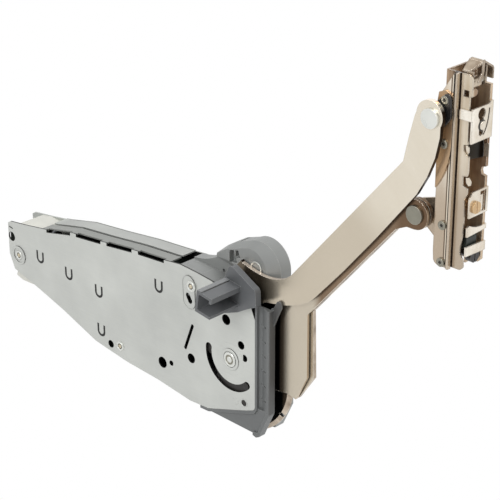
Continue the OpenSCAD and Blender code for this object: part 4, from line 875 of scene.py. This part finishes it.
def makeCrossBarShadeBlock():
    # a dark block between the two cross bars: painted shade for the channel's inside seen there
    look = {"near": -6.2, "far": 3.2, "finish": "blackMoulding"}
    outline = [(165.5, 130.4), (165.5, 137.2), (166.1, 137.8), (174.6, 137.8), (175.4, 137.0), (175.4, 130.6),
               (174.8, 130.0), (166.0, 130.0)]

    def block(shape):
        prism(shape, outline, look["near"], look["far"])

    plainMesh("adjusterBlock", block, look["finish"], "door_channel")


def makeChannelDetail():
    # the tabs folded inward beside the windows, and the small dark plate on the far wall, with painted shade
    # toward its right end
    look = {"tabNear": -8.8, "tabFar": -8.0, "plateNear": 6.4, "plateFar": 6.8, "finish": "tabNickel",
            "plateFinish": "slatePlate"}
    tabs = [[(172.8, 195.2), (174.2, 195.7), (175.3, 194.4), (175.4, 191.6), (174.6, 190.2), (173.4, 191.4)],
            [(174.2, 175.9), (176.2, 176.4), (178.0, 174.2), (177.7, 171.9), (176.4, 171.2), (174.7, 172.9)]]
    farTab = [(174.7, 185.0), (178.2, 185.6), (178.2, 193.0), (177.4, 193.8), (174.7, 192.8)]
    plate = [(163.4, 179.6), (168.8, 182.0), (174.6, 184.8), (174.0, 196.0), (163.4, 192.4)]

    def folds(shape):
        for outline in tabs:
            prism(shape, outline, look["tabNear"], look["tabFar"])
        prism(shape, farTab, look["plateNear"], look["plateFar"])

    def slate(shape):
        prism(shape, plate, look["plateNear"], look["plateFar"])

    plainMesh("channelTabs", folds, look["finish"], "door_channel")
    plainMesh("channelPlate", slate, look["plateFinish"], "door_channel")


def makeInnerShadeStrips():
    # a dark strip inside the housing along its foot and its rear end, behind the access holes: painted shade
    # for the housing's dark inside
    look = {"near": -23.7, "far": -1.3, "rearFar": -13.0, "thick": 0.8, "finish": "blackMoulding"}
    foot = [(-196.5, -15.9), (-173.9, -22.8), (-139.0, -35.4), (-125.1, -37.5), (-104.6, -40.3),
            (-71.2, -42.5), (-57.0, -44.3)]
    rear = [(-233.9, 21.0), (-233.9, 4.2), (-230.2, -5.6)]

    def strips(shape):
        ribbon(shape, foot, look["near"], look["far"], look["thick"])
        ribbon(shape, rear, look["near"], look["rearFar"], look["thick"])

    plainMesh("innerRails", strips, look["finish"], "housing")


def makeTabSlits():
    # thin dark U-shaped patches on the cuts round the five spring tabs: painted shadow in the cuts
    look = {"inner": 2.35, "outer": 4.15, "drop": -1.2, "top": 4.3, "face": -25.05, "thick": 0.12,
            "finish": "slitShade", "steps": 20}

    def cut(shape):
        outline = []
        for reach in (look["outer"], look["inner"]):
            side = [(-reach, look["top"])]
            for step in range(look["steps"] + 1):
                turn = math.pi + math.pi * step / look["steps"]
                side.append((reach * math.cos(turn), look["drop"] + reach * math.sin(turn)))
            side.append((reach, look["top"]))
            outline.append(side)
        (outA, inA), (outB, inB) = [[[shape.verts.new(mm(x, y, z)) for x, z in side] for side in outline]
                                    for y in (0, look["thick"])]
        for lower in range(len(outA) - 1):
            upper = lower + 1
            shape.faces.new((outA[lower], outA[upper], inA[upper], inA[lower]))
            shape.faces.new((outB[lower], inB[lower], inB[upper], outB[upper]))
            shape.faces.new((outA[lower], outB[lower], outB[upper], outA[upper]))
            shape.faces.new((inA[lower], inA[upper], inB[upper], inB[lower]))
        for end in (0, -1):
            shape.faces.new((outA[end], inA[end], inB[end], outB[end]))

    tabs = [(x, look["face"], z) for x, z in
            ((-198.3, 11.8), (-166.0, 8.8), (-133.2, 5.7), (-132.0, -25.0), (-69.7, 31.1))]
    stampSet("tabSlits", cut, tabs, look["finish"], "housing")


def makeBlockLid():
    # the snap-in lid that closes the pocket in the body block
    look = {"near": -20.95, "far": -11.45, "finish": "greyMoulding"}
    line = [(-45.95, 51.4), (-45.95, 53.0), (-40.0, 52.8), (-32.3, 52.5), (-30.05, 52.3), (-30.05, 51.4)]

    def lid(shape):
        prism(shape, line, look["near"], look["far"])

    plainMesh("blockLid", lid, look["finish"], "housing")


makeSocketDetail()
makeCapRing()
makeCrossBarShadeBlock()
makeChannelDetail()
makeInnerShadeStrips()
makeTabSlits()
makeBlockLid()
makeScrewCrowns()
makeSeat()
makeHoleShadeWashers()
makePlateRivetCrowns()
makeFootEyelet()
makeStudRings()
makeOvalBead()
makeLockButton()
print("extra pieces built")


# the stage: a pale floor, a white surround, soft lamps and the photo's camera
def seenPlainly(tree):
    # 1 where a ray comes from the camera, a mirror or clear material, so that it may see plain white
    rays = addNode(tree, "ShaderNodeLightPath")
    level = rays.outputs["Is Camera Ray"]
    for kind in ("Is Glossy Ray", "Is Transmission Ray"):
        either = addNode(tree, "ShaderNodeMath", operation="MAXIMUM")
        tree.links.new(level, either.inputs[0])
        tree.links.new(rays.outputs[kind], either.inputs[1])
        level = either.outputs[0]
    return level


def makeFloor():
    # it lies below the reach of the folded arms
    look = {"drop": 0.24, "half": 3.0, "tone": (0.86, 0.86, 0.86, 1.0), "rough": 0.9}
    low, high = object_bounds()
    height = low[2] - look["drop"]
    side = look["half"]
    mesh = bpy.data.meshes.new("floor")
    corners = [(-side, -side, height), (side, -side, height), (side, side, height), (-side, side, height)]
    mesh.from_pydata(corners, [], [(0, 1, 2, 3)])
    floor = bpy.data.objects.new("floor", mesh)
    bpy.context.scene.collection.objects.link(floor)
    pale = bpy.data.materials.new("paleFloor")
    pale.use_nodes = True
    tree = pale.node_tree
    shader = tree.nodes["Principled BSDF"]
    shader.inputs["Base Color"].default_value = look["tone"]
    shader.inputs["Roughness"].default_value = look["rough"]
    glow = addNode(tree, "ShaderNodeEmission", {"Color": (1, 1, 1, 1), "Strength": 1.0})
    mix = addNode(tree, "ShaderNodeMixShader")
    tree.links.new(seenPlainly(tree), mix.inputs["Fac"])
    tree.links.new(shader.outputs[0], mix.inputs[1])
    tree.links.new(glow.outputs[0], mix.inputs[2])
    tree.links.new(mix.outputs[0], tree.nodes["Material Output"].inputs["Surface"])
    mesh.materials.append(pale)


def makeSurround():
    # white to look at, and a softer light on the object
    look = {"lightLevel": 0.55, "seenLevel": 1.0}
    world = bpy.data.worlds.new("studio")
    bpy.context.scene.world = world
    world.use_nodes = True
    tree = world.node_tree
    back = tree.nodes["Background"]
    back.inputs["Color"].default_value = (1, 1, 1, 1)
    level = addNode(tree, "ShaderNodeMapRange", {"To Min": look["lightLevel"], "To Max": look["seenLevel"]})
    tree.links.new(seenPlainly(tree), level.inputs["Value"])
    tree.links.new(level.outputs["Result"], back.inputs["Strength"])


def addLamp(name, place, aim, size, power):
    data = bpy.data.lights.new(name, "AREA")
    data.shape = "DISK"
    data.size = size
    data.energy = power
    lamp = bpy.data.objects.new(name, data)
    lamp.location = place
    lamp.rotation_euler = (Vector(aim) - Vector(place)).to_track_quat("-Z", "Y").to_euler()
    bpy.context.scene.collection.objects.link(lamp)


def addCamera():
    shot = {"place": mm(731.8, -759.5, 554.4), "aim": mm(18.04, -25, 86.12), "lens": 126.0, "sensor": 36.0}
    data = bpy.data.cameras.new("photoCamera")
    data.lens = shot["lens"]
    data.sensor_width = shot["sensor"]
    camera = bpy.data.objects.new("photoCamera", data)
    camera.location = shot["place"]
    camera.rotation_euler = (shot["aim"] - shot["place"]).to_track_quat("-Z", "Y").to_euler()
    bpy.context.scene.collection.objects.link(camera)
    bpy.context.scene.camera = camera


makeFloor()
makeSurround()
lamps = {"keyLamp": {"place": (0.2, -1.5, 1.3), "size": 0.9, "power": 16},
         "sideLamp": {"place": (1.6, 0.3, 0.9), "size": 0.9, "power": 10},
         "topLamp": {"place": (-0.5, 0.4, 1.7), "size": 1.0, "power": 8}}
lampAim = (0.02, -0.02, 0.08)
for name, lamp in lamps.items():
    addLamp(name, lamp["place"], lampAim, lamp["size"], lamp["power"])
addCamera()
bpy.context.scene.view_settings.view_transform = "Standard"
print("stage, lamps and camera set")
